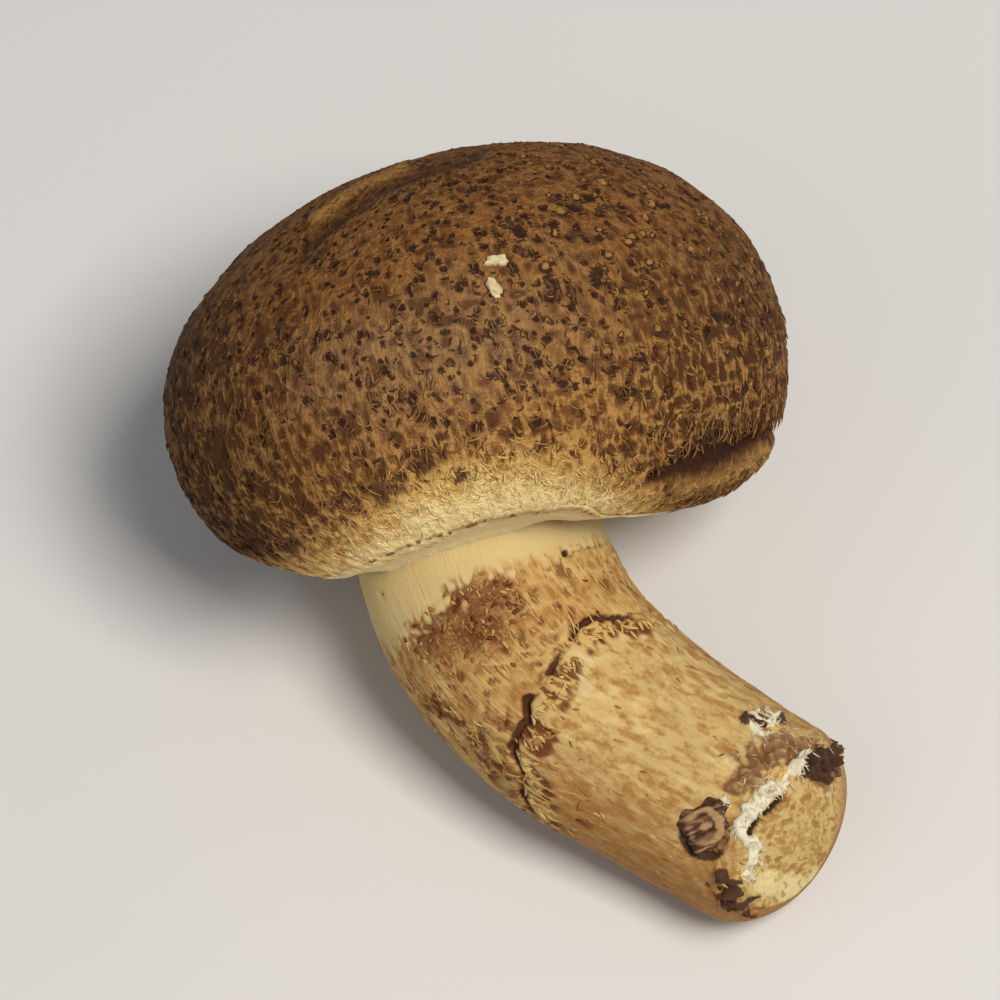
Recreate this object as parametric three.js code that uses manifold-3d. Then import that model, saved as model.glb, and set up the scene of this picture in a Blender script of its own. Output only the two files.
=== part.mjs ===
// A fresh shiitake mushroom with a deep, inrolled cap, lying on its side as picked.
// Cap, gills and stem grew as one body, so they are one solid. Chips of the bark that it grew on
// are still held in the foot of the stem, and each chip is a solid of its own.
// Millimetres, +Z up. The floor is z = 0, and the origin is under the middle of the mushroom.
import * as THREE from "three";
import Module from "manifold-3d";
import { mergeVertices } from "three/addons/utils/BufferGeometryUtils.js";

// ---- Driving dimensions -------------------------------------------------------------------
const CAP_RADIUS = 27; // half the width of the cap at its widest ring
const DOME_HEIGHT = 19.8; // from the widest ring up to the crown
const CROWN_SHIFT = 2.4; // how far the crown sits to one side of the cap's axis
const RIM_DROP = 14.4; // from the widest ring down to the bottom of the inrolled rim
const STEM_RADIUS = 10.8; // of the stout upper stem
const FOOT_RADIUS = 9.1; // of the stem just above its rounded foot
const NOSE_LENGTH = 6.5; // of the rounded foot
const CUT_DEPTH = 1.5; // how deep the slanted knife cut goes into the rounded foot
const FLAT_SHARE = 0.93; // the side of the cap that grew flat, as a share of its radius
const CHIP_GAP = 0.3; // between a bark chip and the flesh that holds it

// How the mushroom lies: the cap's axis leans back from upright, and its flat side is below.
const LEAN = THREE.MathUtils.degToRad(56.4);
const PRESSED = 0.5; // how far the soft flesh is pressed flat where it meets the floor

// ---- Mesh fineness ------------------------------------------------------------------------
const AROUND = 48; // columns round the axis
const CAP_STEPS = 28; // rings from the crown to the root of the stem
const STEM_STEPS = 14; // rings down the stem
const NOSE_STEPS = 4; // rings round the foot

// ---- The cap, crown up ----------------------------------------------------------------------
// Outlines run from the crown, over the rim and under it to the root of the stem. Each point is
// [share of CAP_RADIUS, share of DOME_HEIGHT or, below the widest ring, of RIM_DROP].
const OPEN_OUTLINE = [
  [0, 1],
  [0.25, 0.97],
  [0.46, 0.9],
  [0.66, 0.76],
  [0.8, 0.6],
  [0.9, 0.44],
  [0.97, 0.24],
  [1, 0],
  [0.99, -0.24],
  [0.955, -0.5],
  [0.885, -0.75],
  [0.77, -0.93],
  [0.65, -1],
  [0.56, -0.95],
  [0.535, -0.85],
  [0.565, -0.72],
  [0.58, -0.58],
  [0.52, -0.46],
  [0.44, -0.42],
];
// Where the rim hugs the stem it rolls further in.
const HUGGING_OUTLINE = [
  [0, 1],
  [0.25, 0.97],
  [0.46, 0.9],
  [0.66, 0.76],
  [0.8, 0.6],
  [0.9, 0.44],
  [0.97, 0.24],
  [1, 0],
  [0.985, -0.24],
  [0.94, -0.48],
  [0.855, -0.7],
  [0.73, -0.86],
  [0.61, -0.92],
  [0.53, -0.89],
  [0.49, -0.8],
  [0.49, -0.68],
  [0.495, -0.56],
  [0.47, -0.47],
  [0.44, -0.42],
];
const FRONT = -Math.PI / 2; // the side that the stem leans to, where the rim hugs it
const BACK = Math.PI / 2; // the side that the mushroom lies on

const smooth = THREE.MathUtils.smoothstep;

// A soft hill round one direction, 1 at its centre.
function bump(angle, centre, width) {
  const away = Math.atan2(Math.sin(angle - centre), Math.cos(angle - centre));
  return Math.exp(-((away / width) ** 2));
}

function outlineCurve(outline) {
  const points = outline.map(([radius, height]) => {
    const reach = height < 0 ? RIM_DROP : DOME_HEIGHT;
    return new THREE.Vector2(radius * CAP_RADIUS, height * reach);
  });
  return new THREE.SplineCurve(points);
}
const openCurve = outlineCurve(OPEN_OUTLINE);
const huggingCurve = outlineCurve(HUGGING_OUTLINE);

// The cap seen from above: nearly round, with one side grown flat.
function planShare(angle) {
  const waves = 0.012 * Math.cos(2 * angle) + 0.01 * Math.cos(3 * angle + 0.6);
  const toFlat = Math.cos(angle - BACK);
  return toFlat > 0.3 ? Math.min(1 + waves, FLAT_SHARE / toFlat) : 1 + waves;
}

// The rim's wave: it lifts where it hugs the stem, and hangs in a lobe on either side.
function rimWave(angle) {
  const lobes = 0.3 * bump(angle, Math.PI, 0.5) + 0.5 * bump(angle, -0.2, 0.45);
  return 1.1 * bump(angle, FRONT, 0.6) - lobes + 0.3 * Math.cos(4 * angle);
}

function capPoint(share, angle) {
  const hug = Math.max(bump(angle, FRONT, 0.9), 0.8 * bump(angle, Math.PI, 0.7));
  const at = openCurve.getPoint(share).lerp(huggingCurve.getPoint(share), hug);
  const outer = smooth(share, 0.05, 0.36) * (1 - smooth(share, 0.62, 0.95));
  const radius = at.x * (1 + (planShare(angle) - 1) * outer);
  const hanging = smooth(share, 0.3, 0.55) * (1 - smooth(share, 0.72, 0.95));
  const shift = CROWN_SHIFT * Math.max(0, at.y / DOME_HEIGHT) ** 2;
  return new THREE.Vector3(
    radius * Math.cos(angle) + shift,
    radius * Math.sin(angle),
    at.y + rimWave(angle) * hanging,
  );
}

// ---- The stem -------------------------------------------------------------------------------
const [ROOT_SHARE, ROOT_DROP] = OPEN_OUTLINE.at(-1);
const ROOT_RADIUS = ROOT_SHARE * CAP_RADIUS;
const stemLine = new THREE.CubicBezierCurve3(
  new THREE.Vector3(-1, 0, ROOT_DROP * RIM_DROP),
  new THREE.Vector3(-6, -1.5, -23),
  new THREE.Vector3(4, -4, -31),
  new THREE.Vector3(16.8, -9.5, -42.2),
);
const CUT_NORMAL = new THREE.Vector3(0.46, -0.72, -0.5).normalize();

function stemRadius(share) {
  const flare = (ROOT_RADIUS - STEM_RADIUS) * (1 - smooth(share, 0, 0.16));
  return STEM_RADIUS + flare + (FOOT_RADIUS - STEM_RADIUS) * smooth(share, 0.3, 1);
}

// Across the stem, side and deep stay square to its line, with no twist round it.
function stemFrame(share) {
  const along = stemLine.getTangent(share);
  const side = new THREE.Vector3(1, 0, 0).addScaledVector(along, -along.x).normalize();
  const deep = new THREE.Vector3().crossVectors(side, along);
  return { centre: stemLine.getPoint(share), along, side, deep };
}

function ringPoint({ centre, side, deep }, radius, angle) {
  const uneven = radius * (1 + 0.025 * Math.cos(2 * angle + 0.8) + 0.015 * Math.cos(3 * angle));
  return centre
    .clone()
    .addScaledVector(side, uneven * Math.cos(angle))
    .addScaledVector(deep, uneven * Math.sin(angle));
}

function stemPoint(share, angle) {
  return ringPoint(stemFrame(share), stemRadius(share), angle);
}

// ---- The rounded foot and the slanted knife cut across its front ------------------------------
const foot = stemFrame(1);
const slant = foot.along.angleTo(CUT_NORMAL);
const reach = Math.hypot(FOOT_RADIUS * Math.sin(slant), NOSE_LENGTH * Math.cos(slant));
const cutPlane = new THREE.Plane().setFromNormalAndCoplanarPoint(
  CUT_NORMAL,
  foot.centre.clone().addScaledVector(CUT_NORMAL, reach - CUT_DEPTH),
);

function cutOff(point) {
  const over = Math.max(0, cutPlane.distanceToPoint(point));
  return point.addScaledVector(CUT_NORMAL, -over);
}

function nosePoint(share, angle) {
  const turn = (share * Math.PI) / 2;
  const centre = foot.centre.clone().addScaledVector(foot.along, NOSE_LENGTH * Math.sin(turn));
  return ringPoint({ ...foot, centre }, FOOT_RADIUS * Math.cos(turn), angle);
}

// ---- The whole body, crown up -----------------------------------------------------------------
const RINGS = CAP_STEPS + STEM_STEPS + NOSE_STEPS;

function bodyPoint(ring, angle) {
  if (ring <= CAP_STEPS) return capPoint(ring / CAP_STEPS, angle);
  const below = ring - CAP_STEPS;
  if (below <= STEM_STEPS) return cutOff(stemPoint(below / STEM_STEPS, angle));
  return cutOff(nosePoint((below - STEM_STEPS) / NOSE_STEPS, angle));
}

// A lathe, turned from the foot up to the crown, gives the closed grid of faces, and each of its
// corners then moves to its true place.
function bodyGeometry() {
  const spindle = Array.from({ length: RINGS + 1 }, (_, level) => {
    const radius = level === 0 || level === RINGS ? 0 : 1;
    return new THREE.Vector2(radius, level);
  });
  const geometry = new THREE.LatheGeometry(spindle, AROUND);
  const position = geometry.getAttribute("position");
  for (let column = 0; column <= AROUND; column += 1) {
    const angle = (2 * Math.PI * (column % AROUND)) / AROUND;
    for (let level = 0; level <= RINGS; level += 1) {
      const point = bodyPoint(RINGS - level, angle);
      position.setXYZ(column * (RINGS + 1) + level, point.x, point.y, point.z);
    }
  }
  return geometry;
}

// ---- Bark chips held in the foot --------------------------------------------------------------
// place is the share down the stem, and past 1 it goes on round the foot. angle is round the stem,
// turn is about the chip's own outward side, and sunk is the share of its thickness in the flesh.
const CHIPS = [
  { place: 1.35, angle: -0.6, length: 5.2, width: 3.6, thickness: 2, turn: 0.5, sunk: 0.2 },
  { place: 0.965, angle: -2.16, length: 4.6, width: 4.2, thickness: 1.7, turn: 0.9, sunk: 0.15 },
  { place: 1.1, angle: -2.85, length: 4.2, width: 3, thickness: 1.8, turn: 2, sunk: 0.45 },
  { place: 0.93, angle: -0.95, length: 3.4, width: 2.4, thickness: 1.5, turn: 1.2, sunk: 0.2 },
];

// A flake with uneven faces: a ball of triangles, each corner pushed in or out by a fixed rule.
function chipGeometry({ length, width, thickness }) {
  const geometry = new THREE.IcosahedronGeometry(0.5, 1);
  const position = geometry.getAttribute("position");
  const size = new THREE.Vector3(length, width, thickness);
  const corner = new THREE.Vector3();
  for (let i = 0; i < position.count; i += 1) {
    corner.fromBufferAttribute(position, i);
    const uneven = 0.14 * Math.sin(10 * corner.x + length) * Math.cos(8 * corner.y + width);
    corner.multiplyScalar(1 + uneven).multiply(size);
    position.setXYZ(i, corner.x, corner.y, corner.z);
  }
  return geometry;
}

// Where a chip sits, as a matrix in the crown-up frame: its broad side faces out of the flesh.
function chipMatrix({ place, angle, thickness, turn, sunk }) {
  const { centre, along } = stemFrame(Math.min(place, 1));
  const skin = place > 1 ? nosePoint(place - 1, angle) : stemPoint(place, angle);
  const out = skin.clone().sub(centre).normalize();
  const down = along.clone().addScaledVector(out, -along.dot(out)).normalize();
  const across = new THREE.Vector3().crossVectors(out, down);
  const seat = skin.addScaledVector(out, -sunk * thickness);
  const turned = new THREE.Matrix4().makeRotationZ(turn);
  return new THREE.Matrix4().makeBasis(down, across, out).setPosition(seat).multiply(turned);
}

// ---- Cutting the chips' sockets into the flesh ------------------------------------------------
const wasm = await Module();
wasm.setup();

function solidOf(geometry) {
  const bare = geometry.clone();
  bare.deleteAttribute("normal");
  bare.deleteAttribute("uv");
  const merged = mergeVertices(bare, 1e-3);
  return new wasm.Manifold(
    new wasm.Mesh({
      numProp: 3,
      vertProperties: merged.getAttribute("position").array,
      triVerts: new Uint32Array(merged.index.array),
    }),
  );
}

function geometryOf(solid) {
  const mesh = solid.getMesh();
  const geometry = new THREE.BufferGeometry();
  geometry.setAttribute("position", new THREE.BufferAttribute(mesh.vertProperties, 3));
  geometry.setIndex(new THREE.BufferAttribute(mesh.triVerts, 1));
  return geometry;
}

// The hollow that holds a chip is the chip's own shape, larger by the gap all round.
function socket(chip) {
  const larger = (size) => 1 + (2 * CHIP_GAP) / size;
  const grown = new THREE.Matrix4().makeScale(
    larger(chip.length),
    larger(chip.width),
    larger(chip.thickness),
  );
  return solidOf(chipGeometry(chip).applyMatrix4(grown).applyMatrix4(chipMatrix(chip)));
}

// ---- Laying the mushroom down -----------------------------------------------------------------
// The cap's axis leans back about X. The body then sinks by PRESSED, and what would lie under the
// floor is pressed flat against it.
const lying = new THREE.Matrix4().makeRotationX(-LEAN);
const body = bodyGeometry().applyMatrix4(lying);
body.computeBoundingBox();
const middle = body.boundingBox.getCenter(new THREE.Vector3());
const lowest = body.boundingBox.min.z;
const settled = new THREE.Matrix4().makeTranslation(-middle.x, -middle.y, -lowest - PRESSED);
body.applyMatrix4(settled);
const corners = body.getAttribute("position");
for (let i = 0; i < corners.count; i += 1) corners.setZ(i, Math.max(0, corners.getZ(i)));
const placed = settled.clone().multiply(lying);

const sockets = CHIPS.map((chip) => socket(chip).transform(placed.elements));
const flesh = new THREE.MeshStandardMaterial({ color: 0x8a6238, roughness: 0.85, metalness: 0 });
const bark = new THREE.MeshStandardMaterial({ color: 0x3a2216, roughness: 0.9, metalness: 0 });

const group = new THREE.Group();
const whole = wasm.Manifold.difference([solidOf(body), ...sockets]);
const mushroom = new THREE.Mesh(geometryOf(whole), flesh);
mushroom.name = "mushroom";
group.add(mushroom);

CHIPS.forEach((chip, i) => {
  const mesh = new THREE.Mesh(chipGeometry(chip), bark);
  mesh.name = `bark_chip_${i + 1}`;
  mesh.applyMatrix4(placed.clone().multiply(chipMatrix(chip)));
  group.add(mesh);
});

export default group;
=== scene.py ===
# A fresh shiitake mushroom with a deep, inrolled cap, lying on its side as picked.
# Shapes are worked out crown up, in millimetres, and then laid down in the frame, in metres.
import math

import bpy
import numpy as np
from mathutils import Matrix, Vector


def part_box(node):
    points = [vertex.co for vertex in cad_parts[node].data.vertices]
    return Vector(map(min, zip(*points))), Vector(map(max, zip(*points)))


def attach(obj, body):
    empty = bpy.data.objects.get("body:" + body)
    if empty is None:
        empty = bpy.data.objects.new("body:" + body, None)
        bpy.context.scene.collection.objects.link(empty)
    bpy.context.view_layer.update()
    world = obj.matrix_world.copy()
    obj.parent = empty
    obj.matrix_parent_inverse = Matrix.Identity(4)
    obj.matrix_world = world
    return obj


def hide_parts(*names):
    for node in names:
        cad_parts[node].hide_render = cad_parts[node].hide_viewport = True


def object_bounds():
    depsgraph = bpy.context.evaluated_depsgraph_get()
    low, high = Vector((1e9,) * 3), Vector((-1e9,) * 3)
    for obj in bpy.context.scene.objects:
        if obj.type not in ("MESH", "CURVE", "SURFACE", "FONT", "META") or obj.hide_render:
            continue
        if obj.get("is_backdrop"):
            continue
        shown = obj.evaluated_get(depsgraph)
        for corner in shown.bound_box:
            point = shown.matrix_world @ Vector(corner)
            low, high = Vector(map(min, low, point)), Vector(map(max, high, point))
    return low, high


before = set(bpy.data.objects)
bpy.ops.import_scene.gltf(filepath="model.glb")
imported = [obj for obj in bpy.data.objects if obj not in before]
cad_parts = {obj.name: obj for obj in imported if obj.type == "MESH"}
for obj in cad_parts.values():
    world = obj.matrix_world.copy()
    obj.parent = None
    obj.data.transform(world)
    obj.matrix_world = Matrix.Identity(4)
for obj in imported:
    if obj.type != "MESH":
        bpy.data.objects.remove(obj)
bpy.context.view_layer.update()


# ---- The cap's skin ----------------------------------------------------------------------------------
# A thick dome of firm flesh that grew round the top of the stem, with its rim rolled under and in.
# Its skin is thin, dry and brown, set with small dark sunken scales. Lower down it is woolly, and
# thins out to the cream flesh of the margin.

CAP_RADIUS = 27.0
DOME_HEIGHT = 19.8
CROWN_SHIFT = 2.4
RIM_DROP = 14.4
FLAT_SHARE = 0.93
FRONT = -math.pi / 2
BACK = math.pi / 2
LEFT = math.pi
# Half outlines from the crown to the root, in shares of the radius and of the height or the drop.
OPEN_OUTLINE = [
    (0, 1), (0.25, 0.97), (0.46, 0.9), (0.66, 0.76), (0.8, 0.6), (0.9, 0.44), (0.97, 0.24),
    (1, 0), (0.99, -0.24), (0.955, -0.5), (0.885, -0.75), (0.77, -0.93), (0.65, -1),
    (0.56, -0.95), (0.535, -0.85), (0.565, -0.72), (0.58, -0.58), (0.52, -0.46), (0.44, -0.42),
]
HUGGING_OUTLINE = [
    (0, 1), (0.25, 0.97), (0.46, 0.9), (0.66, 0.76), (0.8, 0.6), (0.9, 0.44), (0.97, 0.24),
    (1, 0), (0.985, -0.24), (0.94, -0.48), (0.855, -0.7), (0.73, -0.86), (0.61, -0.92),
    (0.53, -0.89), (0.49, -0.8), (0.49, -0.68), (0.495, -0.56), (0.47, -0.47), (0.44, -0.42),
]
ROOT_HEIGHT = OPEN_OUTLINE[-1][1] * RIM_DROP
CAP_COLUMNS = 500
CAP_RINGS = 190
INNER_RINGS = 3
SKIN_END = 0.83
SPECK_SPACING = 1.32
LEAN = math.radians(56.4)
LAID = np.array(Matrix.Rotation(-LEAN, 3, "X"))
BROWN = (0.200, 0.077, 0.018, 1)
DARK_BROWN = (0.070, 0.024, 0.008, 1)
DUSKY = (0.060, 0.022, 0.007, 1)
GREYISH = (0.260, 0.145, 0.066, 1)
TAN = (0.47, 0.245, 0.066, 1)
CREAM = (0.92, 0.72, 0.345, 1)
GOLD = (0.66, 0.42, 0.135, 1)
SCALE_DARK = (0.030, 0.010, 0.007, 1)
CREASE_SHADE = (0.036, 0.010, 0.004, 1)
INNER_PALE = (0.46, 0.38, 0.19, 1)
# Lines and round places as seen from the front: across and up, and for a round place its radius.
CROWN_FOLD = [(-12, 12.8), (-9.6, 14.8), (-5, 17), (0, 18), (4, 18.4)]
CROWN_LIP = [(-10.5, 15.6), (-6, 17.7), (-2, 18.6)]
LOBE_CREASE = [(25.5, -9.3), (22.8, -10.4), (20.2, -10.9), (18.0, -11.1), (16.0, -11.4), (13.4, -12.1)]
LOBE_LIP = [(23.6, -11.6), (21.4, -12.7), (18.6, -13.4), (15.4, -13.4)]
# Dark blots on the skin; the small one at (5.1, 8.5), beside the upper crumb, is a painted shadow.
DARK_BLOTS_AND_SHADOW = [
    (-5.2, -6.7, 1.4), (-9.2, -8.3, 1.5), (-7.4, -7.6, 0.8), (-22.2, -2.9, 1.3), (-20.8, -10.7, 1.5),
    (-13.7, -4.1, 1), (-2.5, -8.4, 0.8), (-17.5, -11.4, 0.9), (19.5, -9.6, 0.9), (5.1, 8.5, 0.4),
    (4.3, 11.0, 0.35),
]


def smooth(value, low, high):
    """0 below low, 1 above high, and 3t^2 - 2t^3 between them."""
    part = np.clip((value - low) / (high - low), 0, 1)
    return part * part * (3 - 2 * part)


def hill(away, width):
    """1 at no distance and less on both sides: exp of minus the square of distance over width."""
    return np.exp(-((away / width) ** 2))


def bump(angle, centre, width):
    """A soft hill round one direction, by the turn away from it."""
    return hill(np.arctan2(np.sin(angle - centre), np.cos(angle - centre)), width)


def through(points, share):
    """The Catmull-Rom curve through the points, at a share from 0 to 1 of the way along them."""
    points = np.asarray(points, float)
    last = len(points) - 1
    along = np.clip(share, 0, 1) * last
    start = np.minimum(along.astype(int), last - 1)
    t = (along - start)[..., None]
    before = points[np.maximum(start - 1, 0)]
    here = points[start]
    there = points[start + 1]
    after = points[np.minimum(start + 2, last)]
    leaving = (there - before) / 2
    arriving = (after - here) / 2
    cubic = 2 * here - 2 * there + leaving + arriving
    square = -3 * here + 3 * there - 2 * leaving - arriving
    return ((cubic * t + square) * t + leaving) * t + here


def in_millimetres(outline):
    """An outline's shares times the cap's radius and, above or below its widest ring, its height."""
    return [(r * CAP_RADIUS, h * (RIM_DROP if h < 0 else DOME_HEIGHT)) for r, h in outline]


def plan_share(angle):
    """The cap from above: a circle with slight waves, cut by a chord on the side it lies on."""
    waves = 1 + 0.012 * np.cos(2 * angle) + 0.01 * np.cos(3 * angle + 0.6)
    to_flat = np.cos(angle - BACK)
    chord = FLAT_SHARE / np.maximum(to_flat, 0.3)
    return np.where(to_flat > 0.3, np.minimum(waves, chord), waves)


def rim_wave(angle):
    """How far the rim lifts or hangs: up where it hugs the stem, down in a lobe on either side."""
    lobes = 0.3 * bump(angle, LEFT, 0.5) + 0.5 * bump(angle, -0.2, 0.45)
    return 1.1 * bump(angle, FRONT, 0.6) - lobes + 0.3 * np.cos(4 * angle)


def cap_surface(share, angle):
    """A turned outline: share runs from the crown over the rim and under it, angle round the
    axis. The open outline gives way to the hugging one by direction."""
    hug = np.maximum(bump(angle, FRONT, 0.9), 0.8 * bump(angle, LEFT, 0.7))[..., None]
    open_at = through(in_millimetres(OPEN_OUTLINE), share)
    hugging_at = through(in_millimetres(HUGGING_OUTLINE), share)
    at = open_at + (hugging_at - open_at) * hug
    outer = smooth(share, 0.05, 0.36) * (1 - smooth(share, 0.62, 0.95))
    radius = at[..., 0] * (1 + (plan_share(angle) - 1) * outer)
    hanging = smooth(share, 0.3, 0.55) * (1 - smooth(share, 0.72, 0.95))
    shift = CROWN_SHIFT * np.maximum(0, at[..., 1] / DOME_HEIGHT) ** 2
    return np.stack([
        radius * np.cos(angle) + shift,
        radius * np.sin(angle),
        at[..., 1] + rim_wave(angle) * hanging,
    ], axis=-1)


def place_in_frame():
    """The shift that brings the smooth cap, turned by LEAN, to its node's box in the frame: the
    cap is the body's whole width, its top and its far end."""
    share, angle = np.meshgrid(np.linspace(0, 1, 240), np.linspace(0, 2 * math.pi, 361))
    cap = cap_surface(share, angle).reshape(-1, 3) @ LAID.T / 1000
    low, high = (np.array(corner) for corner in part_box("mushroom"))
    shift = high - cap.max(0)
    shift[0] = (low[0] + high[0]) / 2 - (cap[:, 0].min() + cap[:, 0].max()) / 2
    return shift


SHIFT = place_in_frame()


def lay_down(points):
    """Crown-up millimetres to metres in the frame, with what would be under the floor on it."""
    laid = points @ LAID.T / 1000 + SHIFT
    laid[..., 2] = np.maximum(laid[..., 2], 0)
    return laid


def unit(vectors):
    """Each vector over its own length."""
    return vectors / np.maximum(np.linalg.norm(vectors, axis=-1, keepdims=True), 1e-12)


def dot(one, other):
    """The sum of the products of the parts of two vectors."""
    return np.sum(one * other, axis=-1)


def normals_of(surface, one, other, delta=1e-3):
    """Outward unit normals of a surface of two parameters, from the cross product of its slopes."""
    by_one = surface(one + delta, other) - surface(one - delta, other)
    by_other = surface(one, other + delta) - surface(one, other - delta)
    return unit(np.cross(by_one, by_other)), unit(by_one), unit(by_other)


def hashed(cells, seed):
    """A fixed random number from 0 to 1 for each whole-number cell: its indices times large odd
    numbers, mixed by exclusive-or, shifts and products."""
    x, y, z = (cells[..., i].astype(np.int64).astype(np.uint32) for i in range(3))
    mixed = x * np.uint32(0x9E3779B1) ^ y * np.uint32(0x85EBCA77) ^ z * np.uint32(0xC2B2AE3D)
    mixed = mixed ^ np.uint32((seed * 0x27D4EB2F + 0x165667B1) & 0xFFFFFFFF)
    mixed = (mixed ^ (mixed >> np.uint32(15))) * np.uint32(0x2C1B3C6D)
    mixed = (mixed ^ (mixed >> np.uint32(12))) * np.uint32(0x297A2D39)
    mixed = mixed ^ (mixed >> np.uint32(15))
    return (mixed & np.uint32(0xFFFFFF)) / float(0x1000000)


def lumps(points, seed=0):
    """Smooth noise from -1 to 1: random heights on a lattice of side 1, joined by soft steps."""
    base = np.floor(points)
    part = points - base
    ease = part * part * (3 - 2 * part)
    total = np.zeros(points.shape[:-1])
    for corner in np.ndindex(2, 2, 2):
        weight = np.prod(np.where(corner, ease, 1 - ease), axis=-1)
        total += weight * hashed(base + np.array(corner), seed)
    return 2 * total - 1


def lumps_along(place, seed):
    """Lumps along one line, for places given as numbers of its lattice steps."""
    return lumps(np.stack([place, 0 * place, 0 * place], -1), seed)


def rough_lumps(points, seed=0, octaves=3):
    """Lumps with finer ones on them, each octave half as large and half as high."""
    return sum(lumps(points * 2**k, seed + 7 * k) / 2**k for k in range(octaves)) / 1.6


def spots(points, seed=0):
    """Spots strewn one to each unit cell of space. Gives the way from the nearest spot to each
    point, and four random numbers of that spot."""
    base = np.floor(points)
    nearest = np.full(points.shape[:-1], np.inf)
    way = np.zeros_like(points)
    lot = np.zeros(points.shape[:-1] + (4,))
    for step in np.ndindex(3, 3, 3):
        cell = base + np.array(step) - 1
        spot = cell + np.stack([hashed(cell, seed + k) for k in range(3)], -1)
        offset = points - spot
        distance = np.linalg.norm(offset, axis=-1)
        closer = distance < nearest
        nearest = np.where(closer, distance, nearest)
        way[closer] = offset[closer]
        draws = np.stack([hashed(cell[closer], seed + 11 + k) for k in range(4)], -1)
        lot[closer] = draws
    return way, lot


def seen_from_front(points):
    """Where points stand as seen from the front, a little above the cap's plane."""
    return np.stack([points[..., 0], points[..., 2] + 0.05 * points[..., 1]], -1)


def from_line(flat, line):
    """The distance from each flat point to the nearest stretch of an open line of points."""
    nearest = np.full(flat.shape[:-1], np.inf)
    for start, end in zip(np.array(line[:-1], float), np.array(line[1:], float)):
        run = end - start
        share = np.clip(dot(flat - start, run) / dot(run, run), 0, 1)
        away = np.linalg.norm(flat - start - share[..., None] * run, axis=-1)
        nearest = np.minimum(nearest, away)
    return nearest


def soft_blots(flat, places):
    """Round places that fade outwards: the highest of the hills round their middles."""
    return np.maximum.reduce([hill(np.linalg.norm(flat - np.array([x, z]), axis=-1), reach)
                              for x, z, reach in places])


def even_shares(outline, end, count):
    """Shares of an outline whose points are evenly spaced along its length, up to end, and the
    length along it at any share."""
    share = np.linspace(0, 1, 2001)
    steps = np.linalg.norm(np.diff(through(in_millimetres(outline), share), axis=0), axis=1)
    length = np.concatenate([[0], np.cumsum(steps)])
    reach = np.interp(end, share, length)
    return np.interp(np.linspace(0, reach, count + 1)[1:], length, share), share, length


def closer_at(angles, centre, gain):
    """Angles drawn towards the centre, by taking off gain times the sine of the way from it."""
    return angles - gain * np.sin(angles - centre)


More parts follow.
